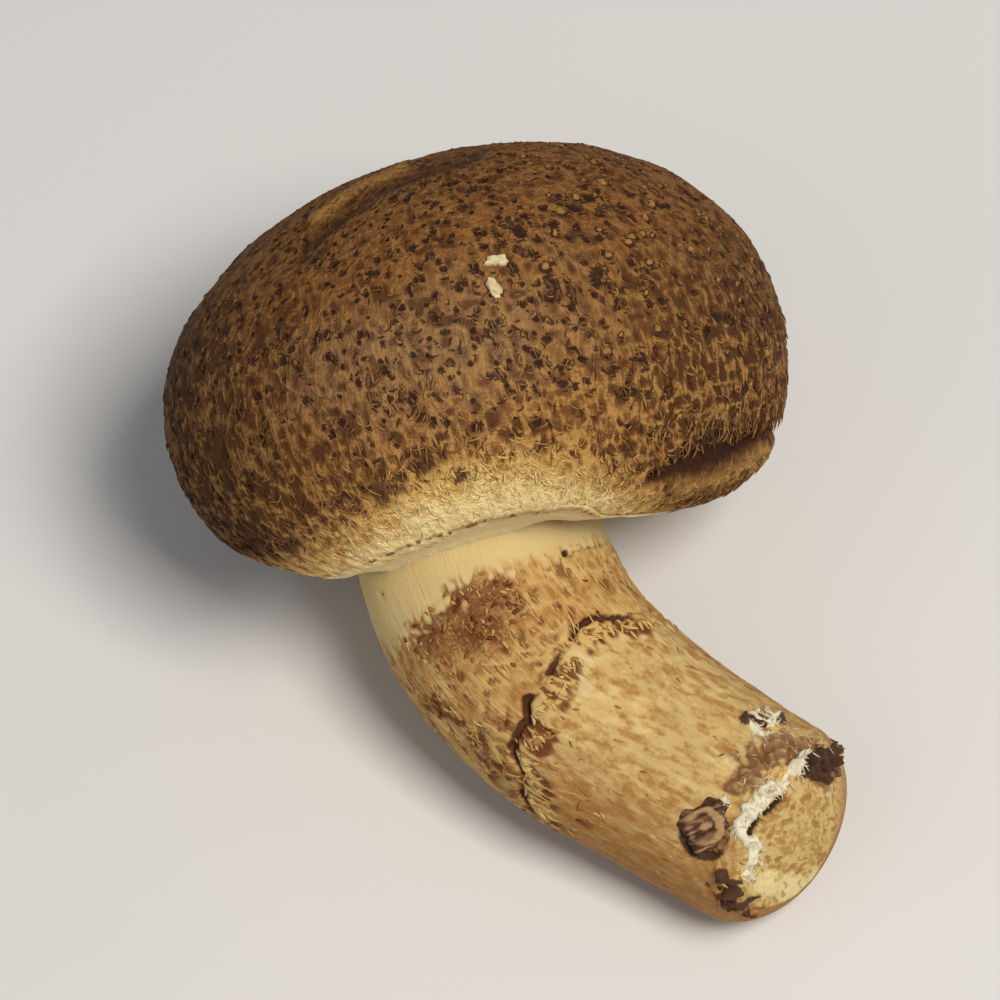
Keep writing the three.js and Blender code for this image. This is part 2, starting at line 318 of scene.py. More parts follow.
def cap_relief(points, down, across, share, angle, grain):
    """The skin's height over the smooth cap, and its marks: slight swells, sunken scales, drawn
    out wool that thickens towards the rim, two folds, and dark blots, one of them a painted shadow."""
    flat = seen_from_front(points)
    front = smooth(-points[..., 1], -3, 1)
    swell = 0.42 * lumps(points / 12, 3) + 0.14 * lumps(points / 4.3, 5)
    woolly = smooth(share, 0.2, 0.5)
    wander = 0.7 * np.stack([lumps(points / 1.7, seed) for seed in (21, 22, 23)], -1)
    wool = rough_lumps((grain + wander) / np.array([0.7, 0.7, 2.3]), 31)
    fine_wool = lumps((grain + 0.5 * wander) / np.array([0.42, 0.42, 1.3]), 37)
    curl = 1 - 3.2 * np.abs(lumps((points + 0.4 * wander) / np.array([0.72, 0.72, 0.95]), 39))

    way, lot = spots((points + 0.3 * wander) / SPECK_SPACING, 41)
    across_way = dot(way, across) * SPECK_SPACING
    down_way = dot(way, down) * SPECK_SPACING
    right = smooth(flat[..., 0], 3, 14)
    hooked = lot[..., 3] > 1.02 - 0.3 * right
    radius = (0.13 + 0.19 * lot[..., 0] ** 2 + 0.05 * lot[..., 2]) * (1 + 0.3 * right + 0.4 * hooked)
    radius = radius * (1 + 0.22 * (1 - woolly))
    away = np.hypot(across_way, down_way) / radius
    crowding = 0.9 - 0.35 * right - 0.4 * smooth(share, 0.28, 0.5) - 0.25 * smooth(flat[..., 0], -2, -14)
    near = (lot[..., 1] < crowding) * smooth(away, 2.0, 1.6)
    # A small raised bead in each hooked scale, where the shader paints a highlight.
    lit_bead = np.hypot(across_way / radius - 0.2, down_way / radius + 0.3)
    lit_bead = smooth(lit_bead, 0.5, 0.15) * near * hooked
    pit = smooth(away, 1.3, 0.6) * near * (1 - lit_bead)
    halo = hill(away - 1.55, 0.4) * near

    over_crown = smooth(-points[..., 1], -8, 1)
    fold = hill(from_line(flat, CROWN_FOLD), 0.75) * over_crown
    lip = hill(from_line(flat, CROWN_LIP), 0.5) * over_crown
    open_to = 0.5 + 0.85 * hill(flat[..., 0] - 18.6, 3.6)
    crease = hill(from_line(flat, LOBE_CREASE), open_to) * front
    lobe = hill(from_line(flat, LOBE_LIP), 0.9) * front
    blot_and_shadow = soft_blots(flat, DARK_BLOTS_AND_SHADOW) * front

    margin_start = 0.68 - 0.09 * bump(angle, -1.6, 0.7) + 0.1 * bump(angle, -0.4, 0.5)
    cream = smooth(share + 0.006 * wool + 0.004 * curl, margin_start - 0.15, margin_start + 0.02)
    height = swell + 0.13 * (0.3 + woolly) * wool * (1 - smooth(share, 0.66, 0.74))
    height += 0.05 * (0.4 + woolly) * fine_wool
    height += 0.11 * (0.35 + 0.65 * woolly) * np.maximum(curl, -0.6) * (1 - 0.6 * cream)
    height += -0.19 * pit + 0.05 * halo + 0.09 * lit_bead - 0.12 * blot_and_shadow
    height += -0.55 * fold + 0.45 * lip - 1.5 * crease + 0.2 * lobe
    tan_side = 1 - 0.8 * bump(angle, -2.7, 0.9) - 0.35 * bump(angle, -0.2, 0.75)
    # Darker to the left, back and lower right: painted shade on the left, darker skin elsewhere.
    shade_and_dark_skin = smooth(-flat[..., 0], 3, 25) * smooth(flat[..., 1], 19, 4)
    shade_and_dark_skin = np.maximum(shade_and_dark_skin, 0.75 * smooth(points[..., 1], -6, 10))
    shade_and_dark_skin = np.maximum(shade_and_dark_skin, 0.8 * smooth(flat[..., 0], 2, 22) * smooth(flat[..., 1], 12, 1))
    marks = {
        "speck": np.stack([across_way / radius, down_way / radius, np.zeros_like(away)], -1),
        "near": near, "hooked": hooked, "cream": cream, "inner": smooth(share, 0.66, 0.74), "blot_and_shadow": blot_and_shadow,
        "crease": crease, "lobe": lobe, "fold": fold, "lip": lip,
        "tan": smooth(share, 0.27, 0.52) * tan_side, "curl": curl,
        "grey": np.exp(-(((flat[..., 0] + 1) / 14) ** 2) - (((flat[..., 1] - 2) / 7.5) ** 2)),
        "shade_and_dark_skin": shade_and_dark_skin, "grain": grain,
    }
    return height * smooth(share, 1.0, 0.86), marks


class Signal:
    """One output socket of a finish. Sums and products of signals add Math nodes."""

    def __init__(self, tree, socket=None):
        self.tree = tree
        self.socket = socket

    def node(self, kind, settings=None, inputs=None, output=0):
        """Any node: its settings are set first, then the values or links of its sockets."""
        made = self.tree.nodes.new(kind)
        for name, value in (settings or {}).items():
            setattr(made, name, value)
        for name, value in (inputs or {}).items():
            if isinstance(value, Signal):
                self.tree.links.new(value.socket, made.inputs[name])
            else:
                made.inputs[name].default_value = value
        return Signal(self.tree, made.outputs[output])

    def math(self, operation, one, other):
        return self.node("ShaderNodeMath", {"operation": operation}, {0: one, 1: other})

    def __add__(self, other):
        return self.math("ADD", self, other)

    def __sub__(self, other):
        return self.math("SUBTRACT", self, other)

    def __rsub__(self, other):
        return self.math("SUBTRACT", other, self)

    def __mul__(self, other):
        return self.math("MULTIPLY", self, other)

    __radd__ = __add__
    __rmul__ = __mul__

    def step(self, low, high):
        """0 below low, 1 above high, with a smooth change between."""
        return self.node("ShaderNodeMapRange", {"interpolation_type": "SMOOTHSTEP"},
                         {"Value": self, "From Min": low, "From Max": high})

    def mark(self, name):
        """The number that a piece keeps on each vertex under that name."""
        return self.node("ShaderNodeAttribute", {"attribute_name": name}, output="Fac")

    def noise(self, scale, detail=2.0):
        """Noise on the piece's own coordinates, with scale cells to the metre."""
        vector = self.node("ShaderNodeTexCoord", output="Object")
        return self.node("ShaderNodeTexNoise", {},
                         {"Vector": vector, "Scale": scale, "Detail": detail})

    def strands(self, across, along, detail=2.0):
        """Noise drawn out along the grain, from strands across by along millimetres in size."""
        grain = self.node("ShaderNodeAttribute", {"attribute_name": "grain"}, output="Vector")
        vector = self.node("ShaderNodeVectorMath", {"operation": "MULTIPLY"},
                           {0: grain, 1: (1 / across, 1 / across, 1 / along)})
        return self.node("ShaderNodeTexNoise", {},
                         {"Vector": vector, "Scale": 1.0, "Detail": detail})

    def mix(self, factor, one, other):
        """One colour giving way to another as factor goes from 0 to 1."""
        return self.node("ShaderNodeMix", {"data_type": "RGBA"}, {0: factor, 6: one, 7: other},
                         output=2)


def brown_ground(surface, cloud, speckle):
    """The brown of the skin: darker at sides and back, painted shade on the left, greyish in the middle."""
    tone = surface.mix((surface.mark("shade_and_dark_skin") + (cloud - 0.5) * 0.8).step(0.0, 1.0) * 0.85, BROWN, DUSKY)
    grey = (surface.mark("grey") * 0.8 + (cloud - 0.5) * 0.6).step(0.05, 0.95)
    return surface.mix(grey * (speckle * 0.6 + 0.5), tone, GREYISH)


def cap_skin(surface):
    """Brown giving way to grey, tan wool and the cream margin, with dark sunken scales. Shade is
    painted in the crown's fold, the lobe's crease and the left side; highlights on the crown's lip,
    the lobe's lip and beads in the hooked scales.
    """
    speckle = surface.noise(2300, 3.0)
    grit = speckle - 0.5
    grains = surface.noise(4600, 2.0)
    sand = grains - 0.5
    cloud = surface.noise(150, 2.0)
    wisps = surface.strands(0.3, 1.2, 3.0)
    curl = surface.mark("curl") + grit * 1.6
    tone = brown_ground(surface, cloud, speckle)
    tone = surface.mix((curl * -0.8 + grit * 1.8 + sand * 1.8).step(-0.2, 1.0) * 0.76,
                       tone, DARK_BROWN)
    wool = curl * 0.35 + wisps + sand * 0.5
    tone = surface.mix(wool.step(0.42, 0.9) * (surface.mark("tan") * 0.66 + 0.24), tone, TAN)
    from_speck = surface.node("ShaderNodeAttribute", {"attribute_name": "speck"}, output="Vector")
    ragged = sand * 1.5
    away = surface.node("ShaderNodeVectorMath", {"operation": "LENGTH"}, {0: from_speck}, output="Value")
    away = away + ragged
    inside = surface.node("ShaderNodeVectorMath", {"operation": "DISTANCE"},
                          {0: from_speck, 1: (0.2, -0.3, 0.0)}, output="Value") + ragged * 0.4
    near = surface.mark("near").step(0.1, 0.5)
    # Painted highlight: a pale bead inside each hooked scale, ringed by the dark scale.
    lit_bead = near * surface.mark("hooked").step(0.4, 0.6) * inside.step(0.75, 0.45)
    tone = surface.mix(near * away.step(2.1, 1.2) * 0.16, tone, TAN)
    tone = surface.mix(lit_bead * 0.5, tone, TAN)
    pit = near * away.step(1.5, 0.7) * (1 - lit_bead)
    tone = surface.mix(pit * 0.94, tone, SCALE_DARK)
    cream = surface.mark("cream") + (wisps - 0.5) * 0.5 + (curl - 0.2) * 0.1
    tone = surface.mix(cream.step(0.0, 0.35) * 0.8, tone, TAN)
    tone = surface.mix((cream + grit * 0.4).step(0.2, 0.65) * 0.85, tone, GOLD)
    tone = surface.mix((cream + sand * 0.5).step(0.55, 1.0), tone, CREAM)
    # Dark blots, and the painted shadow beside the upper crumb.
    blot_and_shadow = surface.mark("blot_and_shadow") + (wisps - 0.5) * 2.0 + grit
    tone = surface.mix(blot_and_shadow.step(0.3, 0.85) * surface.mark("blot_and_shadow").step(0.05, 0.35) * 0.88, tone, DUSKY)
    tone = surface.mix(surface.mark("inner"), tone, INNER_PALE)
    # Painted highlight: the lobe's lower lip is lighter tan and gold.
    lobe = surface.mark("lobe") + (wisps - 0.5) * 0.8 + grit * 0.5
    tone = surface.mix(lobe.step(0.2, 0.9) * 0.45, tone, TAN)
    tone = surface.mix((lobe + sand).step(0.8, 1.3) * 0.45, tone, GOLD)
    # Painted shade in the lobe's crease and in a band below it.
    under = (surface.mark("crease") + grit * 0.15).step(0.01, 0.3) * 0.5
    tone = surface.mix(under, tone, CREASE_SHADE)
    crease = (surface.mark("crease") + grit * 0.5).step(0.2, 0.6)
    tone = surface.mix(crease * 0.95, tone, CREASE_SHADE)
    # Painted shade in the crown's fold.
    tone = surface.mix(surface.mark("fold") * 0.75, tone, DUSKY)
    # Painted highlight along the crown's raised lip.
    tone = surface.mix((surface.mark("lip") + grit * 0.9).step(0.3, 1.1) * 0.65, tone, TAN)
    roughness = 0.66 + speckle * 0.3 - pit * 0.15
    height = grains * 0.4 + speckle * 0.7 + wisps * 0.6 - pit * 0.5
    return tone, roughness, height, 0.9, 0.0003


def finish(name, build, **constants):
    """A material whose Principled shader takes base colour, roughness and height from build."""
    material = bpy.data.materials.new(name)
    material.use_nodes = True
    tree = material.node_tree
    shader = tree.nodes["Principled BSDF"]
    for socket, value in constants.items():
        shader.inputs[socket.replace("_", " ")].default_value = value
    base, roughness, height, strength, depth = build(Signal(tree))
    tree.links.new(base.socket, shader.inputs["Base Color"])
    tree.links.new(roughness.socket, shader.inputs["Roughness"])
    relief = base.node("ShaderNodeBump", {}, {"Height": height, "Strength": strength,
                                             "Distance": depth}, output="Normal")
    tree.links.new(relief.socket, shader.inputs["Normal"])
    return material


def lathe_faces(rings, columns):
    """Quads between neighbouring rings of a closed lathe, and a fan of triangles at each pole.
    Vertices run ring by ring, then the first pole and the last."""
    column = np.arange(columns)
    following = (column + 1) % columns
    ring = np.arange(rings - 1)[:, None] * columns
    quads = np.stack([ring + column, ring + columns + column, ring + columns + following,
                      ring + following], -1).reshape(-1, 4)
    first, last = rings * columns, rings * columns + 1
    end = (rings - 1) * columns
    top = [(first, a, b) for a, b in zip(column.tolist(), following.tolist())]
    bottom = [(last, end + b, end + a) for a, b in zip(column.tolist(), following.tolist())]
    return quads.tolist() + top + bottom


def with_poles(values):
    """A mark's numbers ring by ring, and the first and last of them again for the poles."""
    rows = values.reshape(-1, values.shape[-1]) if values.ndim == 3 else values.reshape(-1)
    return np.concatenate([rows, rows[:1], rows[-1:]])


def solid(name, points, faces, material, marks=None, node=None):
    """A piece from crown-up points and faces, with its marks kept as one number on each vertex.
    It rides on the body, and stands for a node where one is named."""
    mesh = bpy.data.meshes.new(name)
    laid = lay_down(points)
    mesh.from_pydata(laid.tolist(), [], faces.tolist() if hasattr(faces, "tolist") else faces)
    for mark, values in (marks or {}).items():
        kind, field = ("FLOAT_VECTOR", "vector") if values.ndim == 2 else ("FLOAT", "value")
        attribute = mesh.attributes.new(mark, kind, "POINT")
        attribute.data.foreach_set(field, np.ascontiguousarray(values, np.float32).ravel())
    mesh.polygons.foreach_set("use_smooth", np.ones(len(mesh.polygons), bool))
    mesh.materials.append(material)
    mesh.update()
    piece = bpy.data.objects.new(name, mesh)
    bpy.context.scene.collection.objects.link(piece)
    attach(piece, "root")
    if node:
        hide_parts(node)


skin_shares, known_shares, known_lengths = even_shares(OPEN_OUTLINE, SKIN_END, CAP_RINGS)
inner_shares = np.linspace(SKIN_END, 1, INNER_RINGS + 1)[1:]
cap_turns = closer_at(np.linspace(0, 2 * math.pi, CAP_COLUMNS + 1)[:-1], FRONT, 0.3)
cap_share, cap_angle = np.meshgrid(np.concatenate([skin_shares, inner_shares]), cap_turns,
                                   indexing="ij")
cap_points = cap_surface(cap_share, cap_angle)
cap_normals, cap_down, cap_across = normals_of(cap_surface, cap_share, cap_angle)
cap_length = np.interp(cap_share, known_shares, known_lengths)
grain_radius = through(in_millimetres(OPEN_OUTLINE), cap_share)[..., 0]
grain_radius = grain_radius + (CAP_RADIUS - grain_radius) * smooth(cap_share, 0.12, 0.4)
cap_grain = np.stack([grain_radius * np.cos(cap_angle), grain_radius * np.sin(cap_angle), cap_length], -1)
skin_finish = finish("cap skin", cap_skin, Subsurface_Weight=0.05, Subsurface_Radius=(1.0, 0.45, 0.2),
                     Subsurface_Scale=0.0008, Specular_IOR_Level=0.15)
height, cap_marks = cap_relief(cap_points, cap_down, cap_across, cap_share, cap_angle, cap_grain)
cap_raised = cap_points + height[..., None] * cap_normals
crown = cap_surface(np.array([0.0]), np.array([0.0])) + np.array([[0, 0, height[0].mean()]])
solid("cap_skin", np.concatenate([cap_raised.reshape(-1, 3), crown, [[0, 0, ROOT_HEIGHT]]]),
      lathe_faces(len(cap_share), CAP_COLUMNS), skin_finish,
      {name: with_poles(values) for name, values in cap_marks.items()}, "mushroom")


# ---- The wool on the cap -----------------------------------------------------------------------------
# Short tapered tufts of loose fibre, matted down on the skin they grew from. They are brown and
# sparse on the dome, and lie thick, tan and then cream towards the rim.

DOME_TUFTS = 4700
MARGIN_TUFTS = 4700
TUFT_RINGS = 5


def tufts(roots, out, forward, length, width, lift, bend, flat=0.55, sunk=0.1):
    """Tapered tufts, each with diamond rings round a bent middle line and a point at its tip. At a
    share s of the way along, with b the bend in radians, the middle line stands
    forward length sin(b s) / b + side length (1 - cos(b s)) / b + out (lift sin(2.6 s) - sunk)
    from the root."""
    s = np.append(np.arange(TUFT_RINGS) / TUFT_RINGS, 1.0)[None, :]
    side = unit(np.cross(forward, out))
    b = np.where(np.abs(bend) < 0.05, 0.05, bend)[:, None]
    ahead = length[:, None] * np.sin(b * s) / b
    aside = length[:, None] * (1 - np.cos(b * s)) / b
    above = lift[:, None] * np.sin(2.6 * s) - sunk
    middle = (roots[:, None] + forward[:, None] * ahead[..., None] + side[:, None] * aside[..., None]
              + out[:, None] * above[..., None])
    half = 0.5 * width[:, None] * (1 - s[:, :-1] ** 2.2) * (0.7 + 0.5 * s[:, :-1])
    turned = side[:, None] * np.cos(b * s)[:, :-1, None] - forward[:, None] * np.sin(b * s)[:, :-1, None]
    wide = turned * half[..., None]
    thick = out[:, None] * half[..., None] * flat
    ring = middle[:, :-1]
    rings = np.stack([ring + wide, ring + thick, ring - wide, ring - thick], 2)
    points = np.concatenate([rings.reshape(len(roots), -1, 3), middle[:, -1:]], 1)
    return points.reshape(-1, 3)


def tuft_faces(count):
    """The faces of that many tufts: quads between rings, a quad at the root, triangles at the tip."""
    corner = np.arange(4)
    following = (corner + 1) % 4
    ring = np.arange(TUFT_RINGS - 1)[:, None] * 4
    quads = np.stack([ring + corner, ring + 4 + corner, ring + 4 + following, ring + following], -1)
    quads = np.concatenate([quads.reshape(-1, 4), [[0, 1, 2, 3]]])
    last, tip = (TUFT_RINGS - 1) * 4, TUFT_RINGS * 4
    ends = np.stack([last + corner, np.full(4, tip), last + following], -1)
    start = np.arange(count)[:, None, None] * (tip + 1)
    return (start + quads).reshape(-1, 4).tolist() + (start + ends).reshape(-1, 3).tolist()


def along_tufts(values):
    """One number for each tuft, given to each of its points."""
    return np.repeat(values, TUFT_RINGS * 4 + 1)


def towards_tip(count):
    """Each point's share of the way along its tuft."""
    s = np.append(np.repeat(np.arange(TUFT_RINGS) / TUFT_RINGS, 4), 1.0)
    return np.tile(s, count)


def sown(weight, count, draws):
    """The row numbers of that many different places of a grid, drawn by weight."""
    chance = np.maximum(weight, 0).ravel()
    return draws.choice(chance.size, count, replace=False, p=chance / chance.sum())


def at(places, *grids):
    """The values of each grid at those places."""
    return [grid.reshape(-1, 3)[places] if grid.ndim == 3 else grid.ravel()[places] for grid in grids]


def wool_skin(surface):
    """Brown, tan and cream tufts, darker at the root."""
    speckle = surface.noise(2600, 2.0)
    grit = speckle - 0.5
    cloud = surface.noise(150, 2.0)
    tint = surface.mark("tint")
    tone = brown_ground(surface, cloud, speckle)
    tan = surface.mark("tan") * 0.5 + tint * 0.72 + grit * 0.5
    tone = surface.mix(tan.step(0.55, 1.35) * 0.85, tone, TAN)
    cream = surface.mark("cream") * 1.1 + (tint - 0.5) * 0.35 + grit * 0.4
    tone = surface.mix(cream.step(0.0, 0.4) * 0.8, tone, TAN)
    tone = surface.mix(cream.step(0.25, 0.7) * 0.85, tone, GOLD)
    tone = surface.mix(cream.step(0.5, 0.95), tone, CREAM)
    dark = (0.45 - tint).step(0.0, 0.3) * (0.9 - cream * 1.5)
    tone = surface.mix(dark, tone, DARK_BROWN)
    tone = surface.mix((surface.mark("blot_and_shadow") - tint * 0.5).step(0.0, 0.5) * 0.85, tone, DARK_BROWN)
    near_root = (0.3 - surface.mark("tip")).step(0.0, 0.3)
    tone = surface.mix(near_root * (0.35 - cream * 0.25), tone, DARK_BROWN)
    return tone, 0.7 + speckle * 0.25, speckle, 0.5, 0.0001


def sow_wool(name, count, zone, reach, breadth, seed):
    """A piece of that many tufts on the cap, thickest where the zone says. Reach is their length
    on the dome and at the rim, breadth their width."""
    draws = np.random.default_rng(seed)
    spread = np.linalg.norm(cap_points[..., :2], axis=-1) * (1 + 0.3 * np.cos(cap_angle - BACK))
    places = sown(spread * zone, count, draws)
    root, down, across, normal, share = at(places, cap_raised, cap_down, cap_across, cap_normals,
                                           cap_share)
    loose = smooth(share, 0.15, 0.5)
    combed = smooth(share, 0.5, 0.6)
    turn = draws.normal(0, 1, count) * (0.85 - 0.3 * loose - 0.2 * combed) + 0.1
    forward = down * np.cos(turn)[:, None] + across * np.sin(turn)[:, None]
    length = draws.uniform(0.6, 1.15, count) * (reach[0] + (reach[1] - reach[0]) * loose)
    width = draws.uniform(0.7, 1.3, count) * breadth
    lift = draws.uniform(0.02, 0.16, count) * (1 - 0.4 * combed)
    bend = draws.normal(0, 1.3, count) * (1 - 0.4 * combed)
    points = tufts(root, normal, forward, length, width, lift, bend)
    names = ("tan", "cream", "shade_and_dark_skin", "grey", "blot_and_shadow")
    marks = {mark: along_tufts(at(places, cap_marks[mark])[0]) for mark in names}
    marks["tint"] = along_tufts(draws.random(count))
    marks["tip"] = towards_tip(count)
    solid(name, points, tuft_faces(count), wool_finish, marks)


wool_finish = finish("cap wool", wool_skin, Specular_IOR_Level=0.2)
front_more = 0.3 + 0.7 * smooth(cap_points[..., 1], 8, -4)
front_more = front_more * (1 - 0.3 * cap_marks["blot_and_shadow"]) * (1 - 0.85 * cap_marks["crease"])
dome_zone = (0.42 + smooth(cap_share, 0.24, 0.42)) * (1 - 0.9 * cap_marks["lip"])
sow_wool("cap_wool", DOME_TUFTS, dome_zone * smooth(cap_share, 0.6, 0.5) * front_more, (0.75, 1.5),
         0.26, 5)
under_veil = smooth(bump(cap_angle, -1.75, 0.8), 0.3, 0.6)
margin_zone = smooth(cap_share, 0.45, 0.54) * smooth(cap_share + 0.06 * under_veil, 0.68, 0.64)
sow_wool("margin_wool", MARGIN_TUFTS, margin_zone * front_more, (0.9, 1.6), 0.18, 6)


# ---- The stem's skin ---------------------------------------------------------------------------------
# A stout, bent rod of tough fibres, white under the cap and then tan with curled scales. That skin
# ends in a torn edge and the stem below it is cream. A knife cut the foot across on the slant.

STEM_RADIUS = 10.8
FOOT_RADIUS = 9.1
NOSE_LENGTH = 6.5
CUT_DEPTH = 1.5
ROOT_RADIUS = OPEN_OUTLINE[-1][0] * CAP_RADIUS
# The control points of the middle line, and the way the knife's plane faces.
STEM_LINE = np.array([(-1, 0, ROOT_HEIGHT), (-6, -1.5, -23), (4, -4, -31), (16.8, -9.5, -42.2)])
CUT_NORMAL = np.array([0.46, -0.72, -0.5])
CUT_NORMAL /= np.linalg.norm(CUT_NORMAL)
STEM_COLUMNS = 368
STEM_RINGS = 252
NOSE_RINGS = 60
GRAIN_RADIUS = 9.5
STEM_LENGTH = 45.0
# The torn edge's place along the stem, by the angle round it.
TORN_EDGE = [(-3.14, 0.655), (-2.82, 0.635), (-2.38, 0.585), (-2.02, 0.555), (-1.6, 0.535),
             (-1.22, 0.512), (-0.82, 0.575), (-0.3, 0.63), (0.5, 0.62), (1.6, 0.6), (2.6, 0.65),
             (3.14, 0.655)]
WHITE_BAND = (0.68, 0.53, 0.26, 1)
BAND_CREAM = (0.61, 0.475, 0.225, 1)
STEM_TAN = (0.37, 0.165, 0.038, 1)
STEM_CREAM = (0.58, 0.40, 0.155, 1)
FIBRE_LIGHT = (0.64, 0.425, 0.15, 1)
RED_BROWN = (0.145, 0.040, 0.010, 1)
TEAR_DARK = (0.070, 0.015, 0.006, 1)
BARK_PINK = (0.215, 0.098, 0.046, 1)
BARK_DARK = (0.040, 0.014, 0.008, 1)
CHALK = (0.76, 0.69, 0.50, 1)
CUT_FACE = (0.45, 0.26, 0.078, 1)
YELLOWED = (0.62, 0.45, 0.17, 1)
WEDGE_PALE = (0.74, 0.60, 0.28, 1)
ORANGE_BROWN = (0.33, 0.145, 0.032, 1)
# Lines and round places as seen from the front, like the cap's.
RED_PATCHES = [(-4.8, -18.8, 3.3), (-1.6, -18.8, 2.2), (-4.0, -21.2, 3.0), (-7.8, -21.2, 2.4)]
RED_CORES = [(-6.4, -18.6, 0.8), (-5.0, -18.9, 0.8), (-4.5, -21.3, 0.7), (0.2, -20.2, 0.6)]
BLACK_HOLES = [(5, -16.7, 0.42), (-5.4, -13.2, 0.16), (-11.3, -17.1, 0.18), (-3.1, -14.3, 0.1)]
PINK_BAND = [(15.4, -38.6), (17.4, -37.0), (19.6, -36.6), (21.4, -37.6), (22.4, -39.4)]
CHALK_RIDGE = [(20.8, -38), (17.9, -39.8), (15.7, -41.0), (15.2, -43), (15.6, -44.8), (14.4, -46.8)]
SLIT = [(18.7, -40.8), (17.3, -41.7)], [(16.3, -42.2), (15.6, -42.9)]
CHALK_PATCH = [(18.5, -34.3, 1.0), (15.2, -42.2, 0.9), (13.9, -40.2, 0.6)]
BARK_ROUND = (11.8, -42.4, 1.95)
BARK_BUMPS = [(22.0, -38.8, 1.2), (13.2, -47.6, 1.1), (12.6, -45.9, 0.6), (14.4, -49.0, 0.8),
              (23.6, -38.4, 0.8), (17.0, -33.8, 0.5), (20.0, -34.6, 0.45)]
YELLOW_WEDGE = [(16.2, -47.6, 1.3), (18.2, -48.7, 1.5), (20.6, -48.4, 1.2)]


def stem_frame(share):
    """The stem's middle line, a cubic Bezier curve, and the three directions there: along it,
    to its side and to its depth, with no twist."""
    t = np.asarray(share, float)[..., None]
    p0, p1, p2, p3 = STEM_LINE
    centre = (1 - t) ** 3 * p0 + 3 * (1 - t) ** 2 * t * p1 + 3 * (1 - t) * t**2 * p2 + t**3 * p3
    along = (1 - t) ** 2 * (p1 - p0) + 2 * (1 - t) * t * (p2 - p1) + t**2 * (p3 - p2)
    along = unit(along)
    side = unit(np.array([1.0, 0, 0]) - along * along[..., :1])
    return centre, along, side, np.cross(side, along)


def stem_radius(share):
    """Wide at the root, then STEM_RADIUS, thinning to FOOT_RADIUS."""
    flare = (ROOT_RADIUS - STEM_RADIUS) * (1 - smooth(share, 0, 0.16))
    return STEM_RADIUS + flare + (FOOT_RADIUS - STEM_RADIUS) * smooth(share, 0.3, 1)


def stem_surface(place, angle):
    """Rings round the middle line for places from 0 to 1, then a quarter ellipse round the foot
    from 1 to 2. What stands past the knife's plane is moved back onto it."""
    centre, along, side, deep = stem_frame(np.minimum(place, 1))
    turn = np.clip(place - 1, 0, 1) * math.pi / 2
    centre = centre + along * (NOSE_LENGTH * np.sin(turn))[..., None]
    radius = stem_radius(np.minimum(place, 1)) * np.cos(turn)
    uneven = radius * (1 + 0.025 * np.cos(2 * angle + 0.8) + 0.015 * np.cos(3 * angle))
    across = side * np.cos(angle)[..., None] + deep * np.sin(angle)[..., None]
    point = centre + across * uneven[..., None]
    over = np.maximum(0, dot(point - CUT_POINT, CUT_NORMAL))
    return point - over[..., None] * CUT_NORMAL


foot_centre, foot_along = stem_frame(1.0)[:2]
cut_slant = math.acos(float(dot(foot_along, CUT_NORMAL)))
cut_reach = math.hypot(FOOT_RADIUS * math.sin(cut_slant), NOSE_LENGTH * math.cos(cut_slant))
CUT_POINT = foot_centre + CUT_NORMAL * (cut_reach - CUT_DEPTH)


def blots(flat, places, ragged):
    """1 inside any of the round places (x, height, radius), 0 outside, with ragged edges."""
    marks = np.zeros(flat.shape[:-1])
    for x, height, radius in places:
        away = np.linalg.norm(flat - np.array([x, height]), axis=-1)
        marks = np.maximum(marks, smooth(radius * (1 + 0.45 * ragged) - away, -0.2, 0.4))
    return marks


